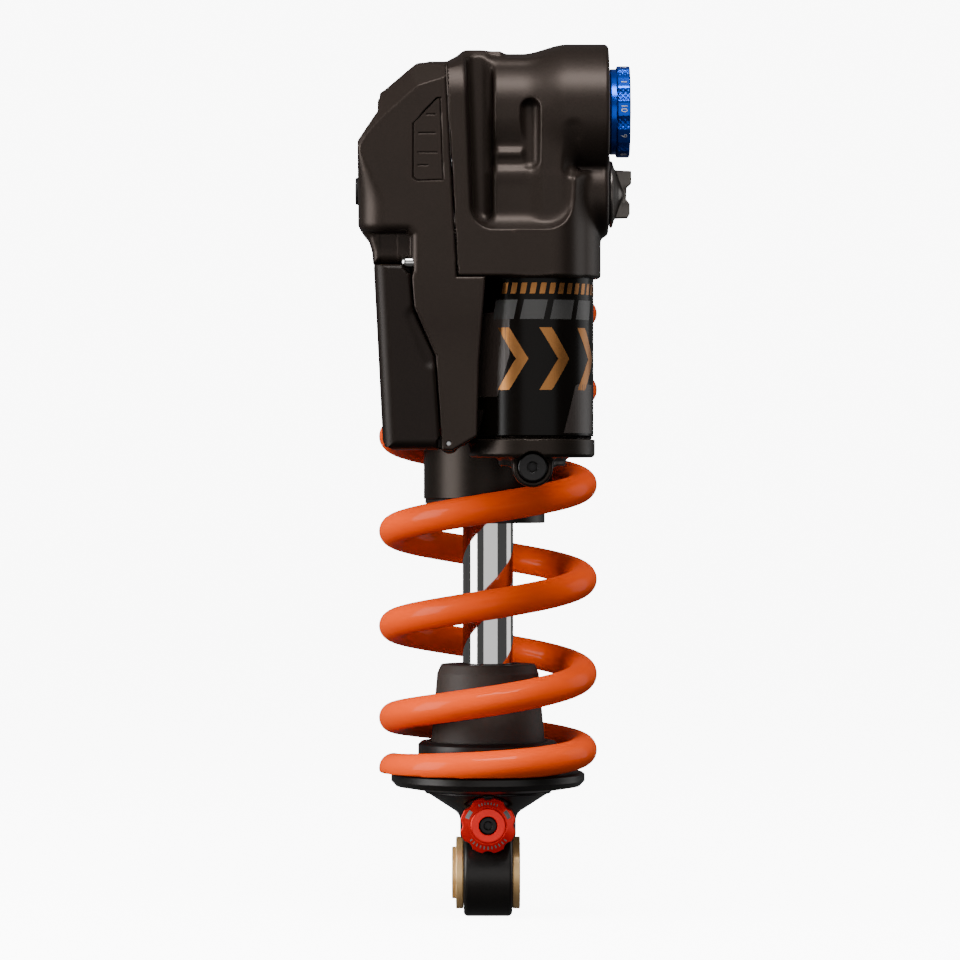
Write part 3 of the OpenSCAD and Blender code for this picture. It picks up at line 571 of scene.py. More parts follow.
def head_field(x, y, z):
    """The whole casting: cap and trunnion arms, bridge and tower."""
    cap = rod(x, y, z, (0, 0), CAP_R, 160, CAP_TOP, 2)
    arms = meet(outline(x, z, [(-26.5, 177.5), (-26.5, 193.8), (-24, 193.8), (-14.5, CAP_TOP),
                               (14.5, CAP_TOP), (24, 193.8), (26.5, 193.8), (26.5, 177.5),
                               (19, 168), (-19, 168)]), slab(y, -ARM_HALF, ARM_HALF), 1.4)
    round_arm = rod(y, z, x, (0, TRUNNION_Z), 9.2, -26.5, 26.5, 1)
    face = rod(y, z, x, (0, TRUNNION_Z), 7, -27, 27, 0.4)
    shape = melt(melt(melt(cap, arms, 2.5), round_arm, 1.2), face, 0.3)
    bridge = block(x, y, z, (-8, -38, 163), (22, -8, 196), 3)
    shape = melt(melt(shape, bridge, 3), head_tower(x, y, z), 2)
    shape = np.maximum(shape, FRONT_Y - y)
    # damper bore, trunnion holes, the three bores of the right face and the top port
    shape = carve(shape, rod(x, y, z, (0, 0), 0.1 - TUBE_LOW[0], 150, 161.5, 0.2))
    shape = carve(shape, rod(x, y, z, (0, 0), SLEEVE[0] + 0.1, 150, SLEEVE[2] + 0.1))
    shape = carve(shape, rod(x, y, z, (0, 0), BAND_R + 0.25, 150, 176.3))
    shape = carve(shape, rod(x, y, z, (0, 0), 8.2, 150, 180.6))
    holes = disc(y, z, (0, TRUNNION_Z), TRUNNION_R)
    hole = meet(holes, 13 - np.abs(x))
    flare = disc(y, z, (0, TRUNNION_Z), TRUNNION_R + 0.8 - np.maximum(27 - np.abs(x), 0))
    shape = carve(carve(shape, hole), np.maximum(flare, 25 - np.abs(x)))
    shape = carve(shape, rod(y, z, x, (RES_Y, DIAL[2]), 9.05, 24, 40, 0.3))
    shape = carve(shape, rod(y, z, x, (RES_Y, WING[2]), 2.6, 20, 40))
    shape = carve(shape, rod(x, y, z, (RES_X, RES_Y), RES_R + 0.05, 140, 151, 0.3))
    return carve(shape, rod(x, y, z, (0, -4), 3.7, 199.6, 210, 0.3))


def make_head():
    low, high = node_box("head_casting")
    cast("head_body", head_field, low, high, 0.45, "cast_black", "damper", ["head_casting"])


make_head()


def thread_wall(plain_r, root_r, crest_r, low, high, pitch, axis="z", centre=(0, 0, 0),
                segments=120):
    """A threaded wall: a helical groove between root_r and crest_r on one side, a plain
    wall of plain_r on the other."""
    heights = np.linspace(low, high, int((high - low) / pitch * 8) + 1)
    around = np.arange(segments) * 2 * math.pi / segments
    phase = (heights[:, None] / pitch - around[None, :] / (2 * math.pi)) % 1
    fade = np.clip(np.minimum(heights - low, high - heights) / (0.5 * pitch), 0, 1)[:, None]
    depth = np.clip(1.25 - 2.5 * np.abs(phase - 0.5), 0, 1) * fade
    radius = root_r + (crest_r - root_r) * depth
    radius = np.concatenate([radius, np.full((2, segments), plain_r)])
    heights = np.concatenate([heights, [high, low]])
    local = np.stack([radius * np.cos(around), radius * np.sin(around),
                      np.repeat(heights[:, None], segments, 1)], -1).reshape(-1, 3)
    count = len(heights)
    ring, spot = np.arange(count)[:, None], np.arange(segments)[None, :]
    above, beside = (ring + 1) % count, (spot + 1) % segments
    faces = np.stack([ring * segments + spot, ring * segments + beside,
                      above * segments + beside, above * segments + spot], -1).reshape(-1, 4)
    if crest_r < plain_r:
        faces = faces[:, ::-1]
    return stand_up(local, axis, centre), faces


def make_trunnion_threads():
    """The M10 thread inside both trunnion holes."""
    for name, side in (("trunnion_thread_left", -1), ("trunnion_thread_right", 1)):
        low, high = sorted((side * 13.4, side * 25.4))
        points, faces = thread_wall(TRUNNION_R + 0.5, TRUNNION_R, TRUNNION_R - 0.55, low, high,
                                    1.0, "x", (0, 0, TRUNNION_Z), 72)
        add_piece(name, points, faces, "aluminium_plain", "damper")


make_trunnion_threads()


# ---------- damper tube and spring ----------

def make_tube():
    bore_r, plain_r = 14.4, 16.1
    thread_z0 = 131
    z0 = TUBE_LOW[2]
    turned("damper_tube", [(bore_r, z0), (plain_r, z0), (plain_r, thread_z0 + 0.5),
                           (bore_r, thread_z0 + 0.5)], "anodised_dark", "damper", ["body_tube"],
           radius=0.35, segments=192)
    points, faces = thread_wall(14.6, THREAD_R - 0.85, THREAD_R, thread_z0, 160.6, 1.5,
                                segments=160)
    add_piece("damper_thread", points, faces, "anodised_dark", "damper")
    low, high = node_box("seal_head")
    turned("seal_head_body", [(SHAFT_R + 2.7, low[2]), (14.25, low[2]), (14.25, 91.9),
                              (15.75, 92.5), (15.75, z0 + 0.02), (14.2, z0 + 0.02),
                              (14.2, high[2]), (9.6, high[2]), (9.6, 90.5),
                              (SHAFT_R + 2.7, 90.5)],
           "black_satin", "damper", ["seal_head"])
    turned("wiper_lip", [(SHAFT_R + 0.06, low[2]), (SHAFT_R + 0.9, low[2] + 0.5),
                         (SHAFT_R + 1.4, low[2] + 0.2), (9, low[2] + 0.2), (9, 90.5),
                         (SHAFT_R + 0.06, 90.5)],
           "rubber_black", "damper", ["shaft_wiper"], radius=0.15)


def make_spring():
    """A round wire whose end turns lie almost level, ground flat at both seats."""
    wire = 7.5
    turns, ramp, end_pitch, lift = 6, 1.33, 5.9, 0.9
    coil_r = SPRING_HIGH[1] - wire / 2
    seat, top = SPRING_LOW[2], SPRING_HIGH[2]
    rise = top - seat - 2 * lift
    pitch = (rise - end_pitch * ramp) / (turns - ramp)

    def lead(t):
        opening = end_pitch * t + (pitch - end_pitch) * t * t / (2 * ramp)
        return np.where(t < ramp, opening, pitch * t - (pitch - end_pitch) * ramp / 2)

    sides, per_turn = 36, 120
    t = np.linspace(0, turns, turns * per_turn + 1)
    height = np.where(t < turns / 2, lead(t), rise - lead(turns - t)) + seat + lift
    angle = math.pi + 2 * math.pi * t[:, None]
    section = (np.arange(sides) * 2 * math.pi / sides)[None, :]
    radius = coil_r + wire / 2 * np.cos(section)
    z = height[:, None] + wire / 2 * np.sin(section)
    points = np.stack([radius * np.cos(angle), radius * np.sin(angle),
                       np.clip(z, seat, top)], -1)
    climb = np.broadcast_to(np.gradient(height, t)[:, None], z.shape)
    along = np.stack([-2 * math.pi * radius * np.sin(angle),
                      2 * math.pi * radius * np.cos(angle), climb], -1)
    across = np.stack([-np.sin(section) * np.cos(angle), -np.sin(section) * np.sin(angle),
                       np.broadcast_to(np.cos(section), z.shape)], -1)
    outward = np.cross(along, across)
    outward /= np.linalg.norm(outward, axis=-1, keepdims=True)
    outward[z < seat] = (0, 0, -1)
    outward[z > top] = (0, 0, 1)
    ring, spot = np.arange(len(t) - 1)[:, None], np.arange(sides)[None, :]
    beside = (spot + 1) % sides
    faces = np.stack([ring * sides + spot, ring * sides + beside,
                      (ring + 1) * sides + beside, (ring + 1) * sides + spot], -1).reshape(-1, 4)
    points, outward = points.reshape(-1, 3), outward.reshape(-1, 3)
    # flat ends of the wire
    girth = 2 * math.pi * coil_r
    ends = []
    for first, way in ((0, -1), (len(t) - 1, 1)):
        rim = points[first * sides:(first + 1) * sides]
        hub = rim.mean(0)
        a = float(angle[first, 0])
        normal = np.array([-math.sin(a), math.cos(a), end_pitch / girth]) * way
        cap = np.stack([np.full(sides, sides), np.arange(sides),
                        (np.arange(sides) + 1) % sides], -1)
        cap = cap if way > 0 else cap[:, ::-1]
        ends.append((np.vstack([rim, hub]), cap, np.tile(normal, (sides + 1, 1))))
    points, faces, outward = merge([(points, faces[:, ::-1], outward)] + ends)
    spring = add_piece("spring_wire", points, faces, "spring_orange", "damper",
                       ["coil_spring"], normals=outward)
    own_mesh(spring)


def make_bumper():
    low, high = node_box("bumper")
    seat_z = node_box("spring_retainer")[1][2]
    bore = SHAFT_R + 0.25
    bumper = turned("bumper_foam_cone", [(bore, low[2]), (14.2, low[2]), (14.2, seat_z),
                                         (12.75, high[2] - 2.3), (11.75, high[2]),
                                         (bore + 0.8, high[2]), (bore, high[2] - 0.8)],
                    "bumper_foam", "leg", ["bumper"], radius=0.45, segments=160)
    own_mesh(bumper)


def make_preload():
    low, high = node_box("upper_spring_seat")
    turned("spring_perch", [(THREAD_R + 0.08, low[2]), (26.3, low[2]), (26.3, high[2]),
                            (THREAD_R + 0.08, high[2])], "anodised_dark", "spring_seat",
           ["upper_spring_seat"], radius=0.5, segments=192)
    low, high = node_box("preload_collar")

    def collar(x, y, z):
        shape = rod(x, y, z, (0, 0), high[0], low[2], high[2], 0.7)
        groove = meet(-disc(x, y, (0, 0), high[0] - 0.9), slab(z, low[2] + 1.2, low[2] + 2), 0.1)
        shape = carve(shape, groove, 0.3)
        for i in range(6):
            a = math.radians(60 * i + 30)
            u, v = x * math.cos(a) + y * math.sin(a), y * math.cos(a) - x * math.sin(a)
            notch = meet(slab(v, -2.6, 2.6), 22.3 - u, 0.8)
            shape = carve(shape, np.maximum(notch, low[2] + 3 - z), 0.4)
        return carve(shape, disc(x, y, (0, 0), THREAD_R + 0.06))

    cast("preload_ring", collar, low, high, 0.36, "anodised_dark", "collar", ["preload_collar"])


make_tube()
make_spring()
make_bumper()
make_preload()


# ---------- lower eye ----------

def make_retainer():
    high = node_box("spring_retainer")[1]
    turned("spring_cup", [(10, 20.6), (15.8, 20.6), (23.05, 21.8), (24.25, 23.1),
                          (24.25, 24.7), (23.7, 25.22, 0.2), (17.8, 25.22, 0.2), (17.5, 26.2),
                          (17.5, 32.2), (16.7, high[2]), (15.1, high[2]), (14.32, 32.2),
                          (14.32, 27), (10, 27)],
           "black_satin", "leg", ["spring_retainer"], radius=0.25, segments=192)


def eyelet_field(x, y, z):
    """Eye ring, neck and flange, with a pocket for the knob and spot faces for the caps."""
    eye_r, eye_half = 10.9, 6.1
    shape = rod(y, z, x, (0, 0), eye_r, -eye_half, eye_half, 1.1)
    neck = rod(x, y, z, (0, 0), 7, 5, 16, 0.5)
    radial = size(x, y)
    cone = meet(beyond(radial, z, (7, 14.7), (5.7, -8.8)), slab(z, 13, 20.5), 0.3)
    rim = meet(radial - 15.8, slab(z, 20.0, 20.6), 0.1)
    shape = melt(shape, np.minimum(melt(neck, cone, 1.5), rim), 1.2)
    shape = carve(shape, meet(disc(y, z, (0, 0), 9.3), eye_half + 0.02 - np.abs(x)), 0.1)
    room = rod(x, z, y, (0, KNOB[2]), 7.6, -30, -9.9, 0.6)
    shape = carve(shape, room, 0.5)
    boss = rod(x, z, y, (0, KNOB[2]), 4.4, -10, 0, 0.3)
    shape = np.minimum(shape, boss)
    shape = carve(shape, rod(y, z, x, (0, 0), 7.5, -20, 20))
    return carve(shape, rod(x, z, y, (0, KNOB[2]), 2.56, -30, -1))


def make_eye():
    low, high = node_box("lower_eyelet")
    high[2] = 20.6
    cast("eyelet_body", eyelet_field, low, high, 0.33, "black_satin", "leg", ["lower_eyelet"])
    turned("chrome_shaft", [(2, 16), (SHAFT_R, 16), (SHAFT_R, 108), (4, 108), (4, 124),
                            (2, 124)], "steel_bright", "leg", ["shaft"], radius=0.3,
           segments=192)
    caps = []
    half = node_box("eye_caps")[1][0]
    for side in (-1, 1):
        inner, outer = side * 6.14, side * half
        ends = sorted((inner, outer))
        step = outer - side * 0.35
        ring = [(6.5, ends[0]), (9, ends[0]), (9, ends[1]), (6.5, ends[1])]
        rows = soft(ring, 0.3)
        caps.append(lathe(rows, "x", segments=160))
        lip = sorted((step, outer - side * 0.02))
        rows = soft([(4.05, lip[0] - 1), (6.48, lip[0] - 1), (6.48, lip[1]), (4.05, lip[1])], 0.25)
        caps.append(lathe(rows, "x", segments=120))
    parts = merge(caps)
    add_piece("eye_end_caps", parts[0], parts[1], "cap_gold", "pin", ["eye_caps"],
              normals=parts[2])


def knob_field(x, y, z):
    """Eight lobes, a conical front and a flat middle."""
    front, back = node_box("rebound_knob")[0][1], -10.1
    u, w = x, z - KNOB[2]
    radial = size(u, w)
    shape = meet(radial - 6.95, slab(y, front, back), 0.25)
    shape = meet(shape, beyond(radial, y, (4.3, front + 0.05), (0.3, -0.95)), 0.12)
    around = (np.arctan2(w, u) + math.pi / 8) % (math.pi / 4) - math.pi / 8
    scoop = size(radial * np.cos(around) - 8.5, radial * np.sin(around)) - 2.15
    shape = carve(shape, scoop, 0.15)
    ring = np.abs(radial - 4.4) - 0.12
    shape = carve(shape, meet(ring, np.abs(y - front) - 0.3), 0.1)
    shape = np.minimum(shape, meet(radial - 2.5, slab(y, back - 1, 0)))
    return carve(shape, meet(radial - 2.3, y - front - 1))


def ring_patch(r0, r1, turn, spread, height, thick, steps=10):
    """A thin raised mark on a flat or conical front, between two radii and around an angle:
    points about local z, at height(r)."""
    angles = np.radians(np.linspace(turn - spread / 2, turn + spread / 2, steps + 1))
    rows = []
    for r, rise in ((r0, 0), (r1, 0), (r1, -thick), (r0, -thick)):
        z = height(r) + rise
        rows.append(np.stack([r * np.cos(angles), r * np.sin(angles),
                              np.full(steps + 1, z)], -1))
    points = np.concatenate(rows)
    n = steps + 1
    faces = []
    for k in range(4):
        a, b = k * n, (k + 1) % 4 * n
        faces += [(a + i, b + i, b + i + 1, a + i + 1) for i in range(steps)]
    faces += [(0, 3 * n, 2 * n, n), (steps, n + steps, 2 * n + steps, 3 * n + steps)]
    return points, np.array(faces)


def make_knob():
    low, high = node_box("rebound_knob")
    high[1] = 0.5
    cast("knob_body", knob_field, low, high, 0.15, "red_anodised", "rebound",
         ["rebound_knob"])
    front = low[1]
    parts = []

    def cone(r):
        return -front + 0.03 - max(0, r - 4.3) * 0.3 / 0.95

    marks = [(5.0, 6.0, 150, 22), (5.0, 6.0, 30, 22)]
    marks += [(5.2, 5.8, turn, 2.6) for turn in range(66, 115, 8)]
    marks += [(5.1, 5.9, turn, 3) for turn in range(-140, -39, 10)]
    for r0, r1, turn, spread in marks:
        points, faces = ring_patch(r0, r1, turn, spread, cone, 0.12)
        # local z runs towards the front, so local x and y become x and z
        points = np.stack([points[:, 0], -points[:, 2], points[:, 1] + KNOB[2]], -1)
        parts.append((points, faces[:, ::-1], points * 0))
    points, faces, _ = merge(parts)
    marks = add_piece("knob_marks", points, faces[:, ::-1], "mark_grey", "rebound")
    marks.data.shade_flat()
    hex_screw("knob_hex_screw", "y", (0, 0, KNOB[2]), 2.2, front + 0.25, front + 1.3, 1.05,
              "rebound", "knob_screw", -1)


HEX = [(math.cos(math.radians(60 * i)), math.sin(math.radians(60 * i))) for i in range(6)]


def hex_screw(name, axis, centre, r, low, high, key, body, node, way=1, dome=0.35, step=0.11,
              material="screw_black"):
    """A screw head with a hexagonal socket. way is the side of the axis that the head faces."""
    place = {"x": (1, 2, 0), "y": (2, 0, 1), "z": (0, 1, 2)}[axis]
    middle = np.array([centre[place[0]], centre[place[1]]])
    face = high if way > 0 else low

    def field(x, y, z):
        u, v, w = [(x, y, z)[p] for p in place]
        shape = rod(u, v, w, middle, r, low, high, dome)
        socket = outline(u - middle[0], v - middle[1], [(key * a, key * b) for a, b in HEX])
        shape = carve(shape, meet(socket, (face - way * 0.6 * (high - low) - w) * way), 0.08)
        return carve(shape, meet(disc(u, v, middle, key), np.abs(w - face) - 0.12), 0.1)

    corner_low, corner_high = [0, 0, 0], [0, 0, 0]
    sides = ((middle[0] - r, middle[0] + r), (middle[1] - r, middle[1] + r), (low, high))
    for p, (a, b) in zip(place, sides):
        corner_low[p], corner_high[p] = a, b
    stands = [node] if node else []
    return cast(name, field, corner_low, corner_high, step, material, body, stands)


def paint(node, material):
    """A CAD node that stays gets its finish."""
    mesh = frame["nodes"][node].data
    mesh.materials.clear()
    mesh.materials.append(MATERIALS[material])


make_retainer()
make_eye()
make_knob()


# ---------- controller on the left ----------

# Outlines of the controller as (x, z). The front face follows a crease, and the body behind
# it is wider.
CREASE = [(-8.0, 194.2), (-10.0, 193.6), (-16.7, 191.5), (-25.4, 183.8), (-28.8, 179.9),
          (-30.3, 177.3), (-30.5, 160)]
REAR = [(-10.35, 199.4), (-14.6, 199.4), (-24.5, 191.0), (-25.8, 190.1), (-25.85, 188.8),
        (-26.3, 188.4), (-26.3, 185.6), (-31, 178.5), (-31, 158.7), (-30.1, 157.3),
        (-28.6, 155.4), (-27.7, 152.5), (-27.45, 149.65), (-7.7, 149.65)]
LEG = [(-7.5, 146.35), (-0.7, 146.35), (-2.25, 126), (-2.65, 108.6), (-8.6, 105.15),
       (-11, 105.35), (-12.5, 127.5), (-17.5, 139), (-18.4, 149.6), (-18.4, 157), (-8.1, 157)]
BATTERY = [(-27.25, 149.3), (-25.1, 107.8), (-24.5, 106.2), (-22.8, 105.5), (-11.25, 105.5),
           (-12.75, 127.6), (-17.75, 139.1), (-18.6, 149.3)]
RECESS = [(-32, 148), (-32, 157.1), (-27, 156.9), (-19.2, 156.9), (-18.3, 156), (-18.3, 148)]
PLATE = [(-12.2, 188.5), (-17.8, 182.6), (-17.8, 169.8), (-17, 169), (-10.7, 169.2),
         (-11.4, 188.5)]
CATCH_LOW, CATCH_HIGH = node_box("battery_catch")
CATCH = (CATCH_LOW + CATCH_HIGH) / 2
BUTTON_LOW, BUTTON_HIGH = node_box("side_button")
BUTTON = (BUTTON_LOW + BUTTON_HIGH) / 2
COVER_LOW, COVER_HIGH = node_box("controller_cover")
PIN_HIGH = node_box("battery_pin")[1]


def clearance(x, y, z):
    """Room for the preload collar and the reservoir beside the controller's leg."""
    collar = meet(disc(x, y, (0, 0), 28.3), z - 161.5)
    return np.minimum(collar, meet(disc(x, y, (RES_X, RES_Y), RES_R + 0.6), z - HEAD_Z0 - 0.2))


def housing_field(x, y, z):
    body = meet(outline(x, z, REAR), slab(y, FRONT_Y, COVER_LOW[1] - 0.1), 0.6)
    # from the crease each edge of the front slopes back to the wider body
    for (au, av), (bu, bv) in zip(CREASE, CREASE[1:]):
        eu, ev = bu - au, bv - av
        away = ((x - au) * ev - (z - av) * eu) / math.hypot(eu, ev)
        body = meet(body, 0.72 * away - 0.69 * (y - FRONT_Y), 0.12)
    top = beyond(y, z, (FRONT_Y + 3.5, 197.1), (-2.5, 22.5))
    body = meet(body, top, 0.4)
    # its left edge rolls back more and more towards the bottom
    ease = np.clip((179 - z) / 16, 0, 1)
    roll = 0.4 + 6.5 * ease * ease * (3 - 2 * ease)
    over, ahead = roll - 30.9 - x, roll + FRONT_Y - y
    corner = size(np.maximum(over, 0), np.maximum(ahead, 0)) - roll
    body = np.maximum(body, np.where((over > 0) & (ahead > 0), corner, -9))
    upper = meet(slab(y, FRONT_Y, PIN_HIGH[1]), beyond(y, z, (FRONT_Y, 142), (-14, -1.6)), 0.8)
    depth = melt(slab(y, FRONT_Y + 1.6, PIN_HIGH[1]), upper, 0.8)
    leg = meet(outline(x, z, LEG), depth, 0.6)
    # a lip behind the gap to the battery
    lip = meet(outline(x, z, LEG) - 0.16, slab(y, -50, PIN_HIGH[1] - 3), 0.3)
    leg = np.minimum(leg, lip)
    shape = np.maximum(melt(body, leg, 0.3), FRONT_Y - y)
    # finger recess over the battery, with faint steps in its back wall
    steps = 0.12 * np.tanh(4 * (x + 21.6)) - 0.12 * np.tanh(4 * (x + 25.8))
    recess = meet(outline(x, z, RECESS), y - FRONT_Y - 4.5 + steps, 0.5)
    shape = carve(shape, recess, 2.6)
    shape = carve(shape, rod(y, z, x, (CATCH[1], CATCH[2]), 1.62, -22, -13.4, 0.1))
    # fine line that outlines the nameplate, and its shallow bed
    bed = outline(x, z, PLATE)
    shape = carve(shape, meet(bed, y - FRONT_Y - 0.5, 0.05), 0.12)
    shape = carve(shape, rod(y, z, x, (BUTTON[1], BUTTON[2]), 3.36, -33, -27.2, 0.1), 0.25)
    shape = carve(shape, clearance(x, y, z), 0.2)
    hinge = block(x, y, z, (HINGE[0] - 7, -57.5, 90), (HINGE[0] + 3, -35.1, HINGE[2] + 3.5), 0.3)
    shape = carve(shape, hinge, 0.2)
    shape = carve(shape, rod(x, z, y, (HINGE[0], HINGE[2]), 0.95, -58, 0))
    return carve(shape, rod(x, z, y, (HINGE[0], HINGE[2]), 0.6, -70, -50))


def cover_field(x, y, z):
    shape = meet(outline(x, z, REAR), slab(y, COVER_LOW[1], COVER_HIGH[1]), 1.1)
    shape = meet(shape, COVER_LOW[2] - z, 0.6)
    shape = meet(shape, x + 8.5 + 0.054 * (z - 162.5), 0.3)
    for u, w in screw_places():
        shape = carve(shape, rod(x, z, y, (u, w), 2.32, COVER_HIGH[1] - 2, 0, 0.1), 0.25)
    return shape


def screw_places():
    """Centres (x, z) of the four screws, at the corners of their node's parts."""
    low, high = node_box("controller_screws")
    half = 2.2
    return [(low[0] + half, low[2] + 3.2), (low[0] + half, low[2] + 12.2),
            (high[0] - half, low[2] + half), (high[0] - half - 0.9, high[2] - half)]


def battery_field(x, y, z):
    low, high = node_box("battery_case")
    body = meet(outline(x, z, BATTERY), slab(y, low[1], high[1]), 1.2)
    # the left front edge rolls, and the lower edge as well
    left = beyond(x, z, (-27.25, 149.3), (-41.5, -2.15)) + 3.6
    front = low[1] + 3.6 - y
    roll = np.where((left > 0) & (front > 0), size(left, front) - 3.6, -9)
    body = np.maximum(body, roll)
    under = 105.5 + 2.4 - z
    front = low[1] + 2.4 - y
    roll = np.where((under > 0) & (front > 0), size(under, front) - 2.4, -9)
    body = np.maximum(body, roll)
    # soft dip towards the leg
    dip = capsule(x, y, z, (-13.3, low[1] - 1.6, 127), (-17.4, low[1] - 1.6, 137), 2.3)
    body = carve(body, dip, 1.4)
    bite = rod(x, z, y, (HINGE[0], HINGE[2]), 2.8, -70, 0)
    body = carve(body, bite)
    knuckle = rod(x, z, y, (HINGE[0], HINGE[2]), 2.3, -57.3, -35.3, 0.2)
    web = block(x, y, z, (-14, -57.3, 105.6), (HINGE[0], -35.3, 108.2), 0.3)
    body = np.minimum(body, np.minimum(knuckle, web))
    body = carve(body, rod(x, z, y, (HINGE[0], HINGE[2]), 0.95, -70, 0))
    catch = rod(x, z, y, (CATCH[0], CATCH[2]), 2.6, -70, CATCH[1] + 2.6, 0.1)
    body = carve(body, catch, 0.3)
    notch = block(x, y, z, (-19.4, -62, CATCH[2] - 2.6), (-14, CATCH[1] + 2.6, 152), 0.1)
    body = carve(body, notch, 0.1)
    return carve(body, clearance(x, y, z), 0.2)


def make_controller():
    low, high = node_box("controller_housing")
    cast("controller_shell", housing_field, low, high, 0.42, "cast_black", "damper",
         ["controller_housing"])
    cast("controller_back", cover_field, COVER_LOW, COVER_HIGH, 0.4, "cast_black", "damper",
         ["controller_cover"])
    low, high = node_box("battery_case")
    cast("battery_shell", battery_field, low, high, 0.4, "shell_plastic", "battery",
         ["battery_case"])

    turned("hinge_pin", [(0, FRONT_Y + 1.9), (0.55, FRONT_Y + 1.9), (0.55, FRONT_Y + 2.8),
                         (0.9, FRONT_Y + 2.9), (0.9, PIN_HIGH[1]), (0, PIN_HIGH[1])],
           "steel_plain", "damper", ["battery_pin"], axis="y",
           centre=(HINGE[0], 0, HINGE[2]), radius=0.1, segments=48, closed=False)

    def ball(x, y, z):
        end = (CATCH_LOW[0] + 1.35, CATCH[1], CATCH[2])
        shape = capsule(x, y, z, end, (CATCH_HIGH[0] + 1, CATCH[1], CATCH[2]), 1.35)
        return meet(shape, x - CATCH_HIGH[0], 0.1)

    cast("catch_ball", ball, CATCH_LOW, CATCH_HIGH, 0.12, "steel_bright", "catch",
         ["battery_catch"])

    def button(x, y, z):
        cap = rod(y, z, x, (BUTTON[1], BUTTON[2]), 3.3, BUTTON_LOW[0], -28.2, 0.45)
        cap = carve(cap, capsule(x, y, z, (BUTTON_LOW[0] - 7.6, BUTTON[1], BUTTON[2]),
                                 (BUTTON_LOW[0] - 7.7, BUTTON[1], BUTTON[2]), 8), 0.2)
        stem = rod(y, z, x, (BUTTON[1], BUTTON[2]), 1.2, -28.6, BUTTON_HIGH[0], 0.2)
        return np.minimum(cap, stem)

    cast("button_cap", button, BUTTON_LOW, BUTTON_HIGH, 0.2, "rubber_black", "button",
         ["side_button"])
    for number, (u, w) in enumerate(screw_places()):
        hex_screw(f"cover_screw_{number}", "y", (u, 0, w), 2.2, COVER_HIGH[1] - 2,
                  COVER_HIGH[1] - 0.3, 0.95, "damper",
                  "controller_screws" if number == 0 else None)


def plate_field(x, y, z):
    """Trapezoid plate with a few shallow plain strokes."""
    low, high = node_box("nameplate")
    bed = outline(x, z, PLATE) + 0.16
    shape = meet(bed, slab(y, low[1], high[1] + 0.2), 0.06)
    for height, left, right in ((184.6, -14.6, -12.6), (180.2, -16.4, -12.6),
                                (175.6, -16.6, -12.2), (172.6, -16.6, -14.4)):
        stroke = capsule(x, y, z, (left, low[1], height), (right, low[1], height), 0.22)
        shape = carve(shape, stroke, 0.1)
    return shape


def make_plate():
    low, high = node_box("nameplate")
    high[1] += 0.2
    cast("plate_body", plate_field, low, high, 0.12, "cast_black", "damper", ["nameplate"])


make_controller()
make_plate()


# ---------- reservoir ----------

def make_reservoir():
    low, high = node_box("reservoir_tube")
    here = (RES_X, RES_Y, 0)
    turned("reservoir_can", [(13.1, low[2]), (RES_R, low[2]), (RES_R, 150.8), (13.1, 150.8)],
           "reservoir_black", "damper", ["reservoir_tube"], centre=here, radius=0.25,
           segments=224)
    low, high = node_box("reservoir_cap")
    z0, z1 = 103.6, RES_LOW[2]

    def cap(x, y, z):
        shape = rod(x, y, z, (RES_X, RES_Y), high[0] - RES_X, z0, z1 - 0.04, 1.0)
        shape = carve(shape, meet(RES_R - 0.5 - size(x - RES_X, y - RES_Y),
                                  slab(z, z1 - 0.75, z1 - 0.35)), 0.1)
        port = rod(x, z, y, (RES_X, 101.3), 4.8, -56, -40, 0.7)
        shape = melt(shape, port, 2.4)
        shape = melt(shape, rod(x, y, z, (RES_X, RES_Y), 8, 101.6, 105, 0.5), 1.5)
        shape = meet(shape, disc(x, y, (RES_X, RES_Y), high[0] - RES_X))
        shape = np.maximum(shape, low[2] - z)
        return carve(shape, rod(x, z, y, (RES_X, 101.3), 3.62, -60, -50, 0.2), 0.2)

    cast("reservoir_end", cap, (low[0], low[1], low[2]), (high[0], high[1], z1), 0.33,
         "anodised_dark", "damper", ["reservoir_cap"])
    low, high = node_box("fill_screw")
    hex_screw("fill_screw_head", "y", (RES_X, 0, 101.3), 3.5, low[1], low[1] + 6, 1.3,
              "damper", "fill_screw", -1, dome=0.5, step=0.15)


def wrap(name, shapes, material, thick=0.03):
    """Thin printed areas on the reservoir: convex outlines as (turn in degrees from the
    front, z), laid on the can as closed patches."""
    parts = []
    for corners in shapes:
        corners = np.array(corners, float)
        turns = np.linspace(corners[:, 0].min(), corners[:, 0].max(), 14)
        low, high = [], []
        for turn in turns:
            hits = []
            for a, b in zip(corners, np.roll(corners, -1, 0)):
                if abs(a[0] - b[0]) > 1e-9 and min(a[0], b[0]) <= turn <= max(a[0], b[0]):
                    hits.append(a[1] + (b[1] - a[1]) * (turn - a[0]) / (b[0] - a[0]))
            low.append(min(hits))
            high.append(max(hits) + 0.01)
        angle = np.radians(turns)
        rings = []
        for r, heights in ((RES_R - 0.2, low), (RES_R + thick, low), (RES_R + thick, high),
                           (RES_R - 0.2, high)):
            rings.append(np.stack([RES_X + r * np.sin(angle), RES_Y - r * np.cos(angle),
                                   np.array(heights)], -1))
        n = len(turns)
        faces = []
        for k in range(4):
            a, b = k * n, (k + 1) % 4 * n
            faces += [(a + i, a + i + 1, b + i + 1, b + i) for i in range(n - 1)]
        faces += [(0, n, 2 * n, 3 * n), (4 * n - 1, 3 * n - 1, 2 * n - 1, n - 1)]
        points = np.concatenate(rings)
        parts.append((points, np.array(faces), points * 0))
    points, faces, _ = merge(parts)
    piece = add_piece(name, points, faces, material, "damper")
    piece.data.shade_flat()
    return piece


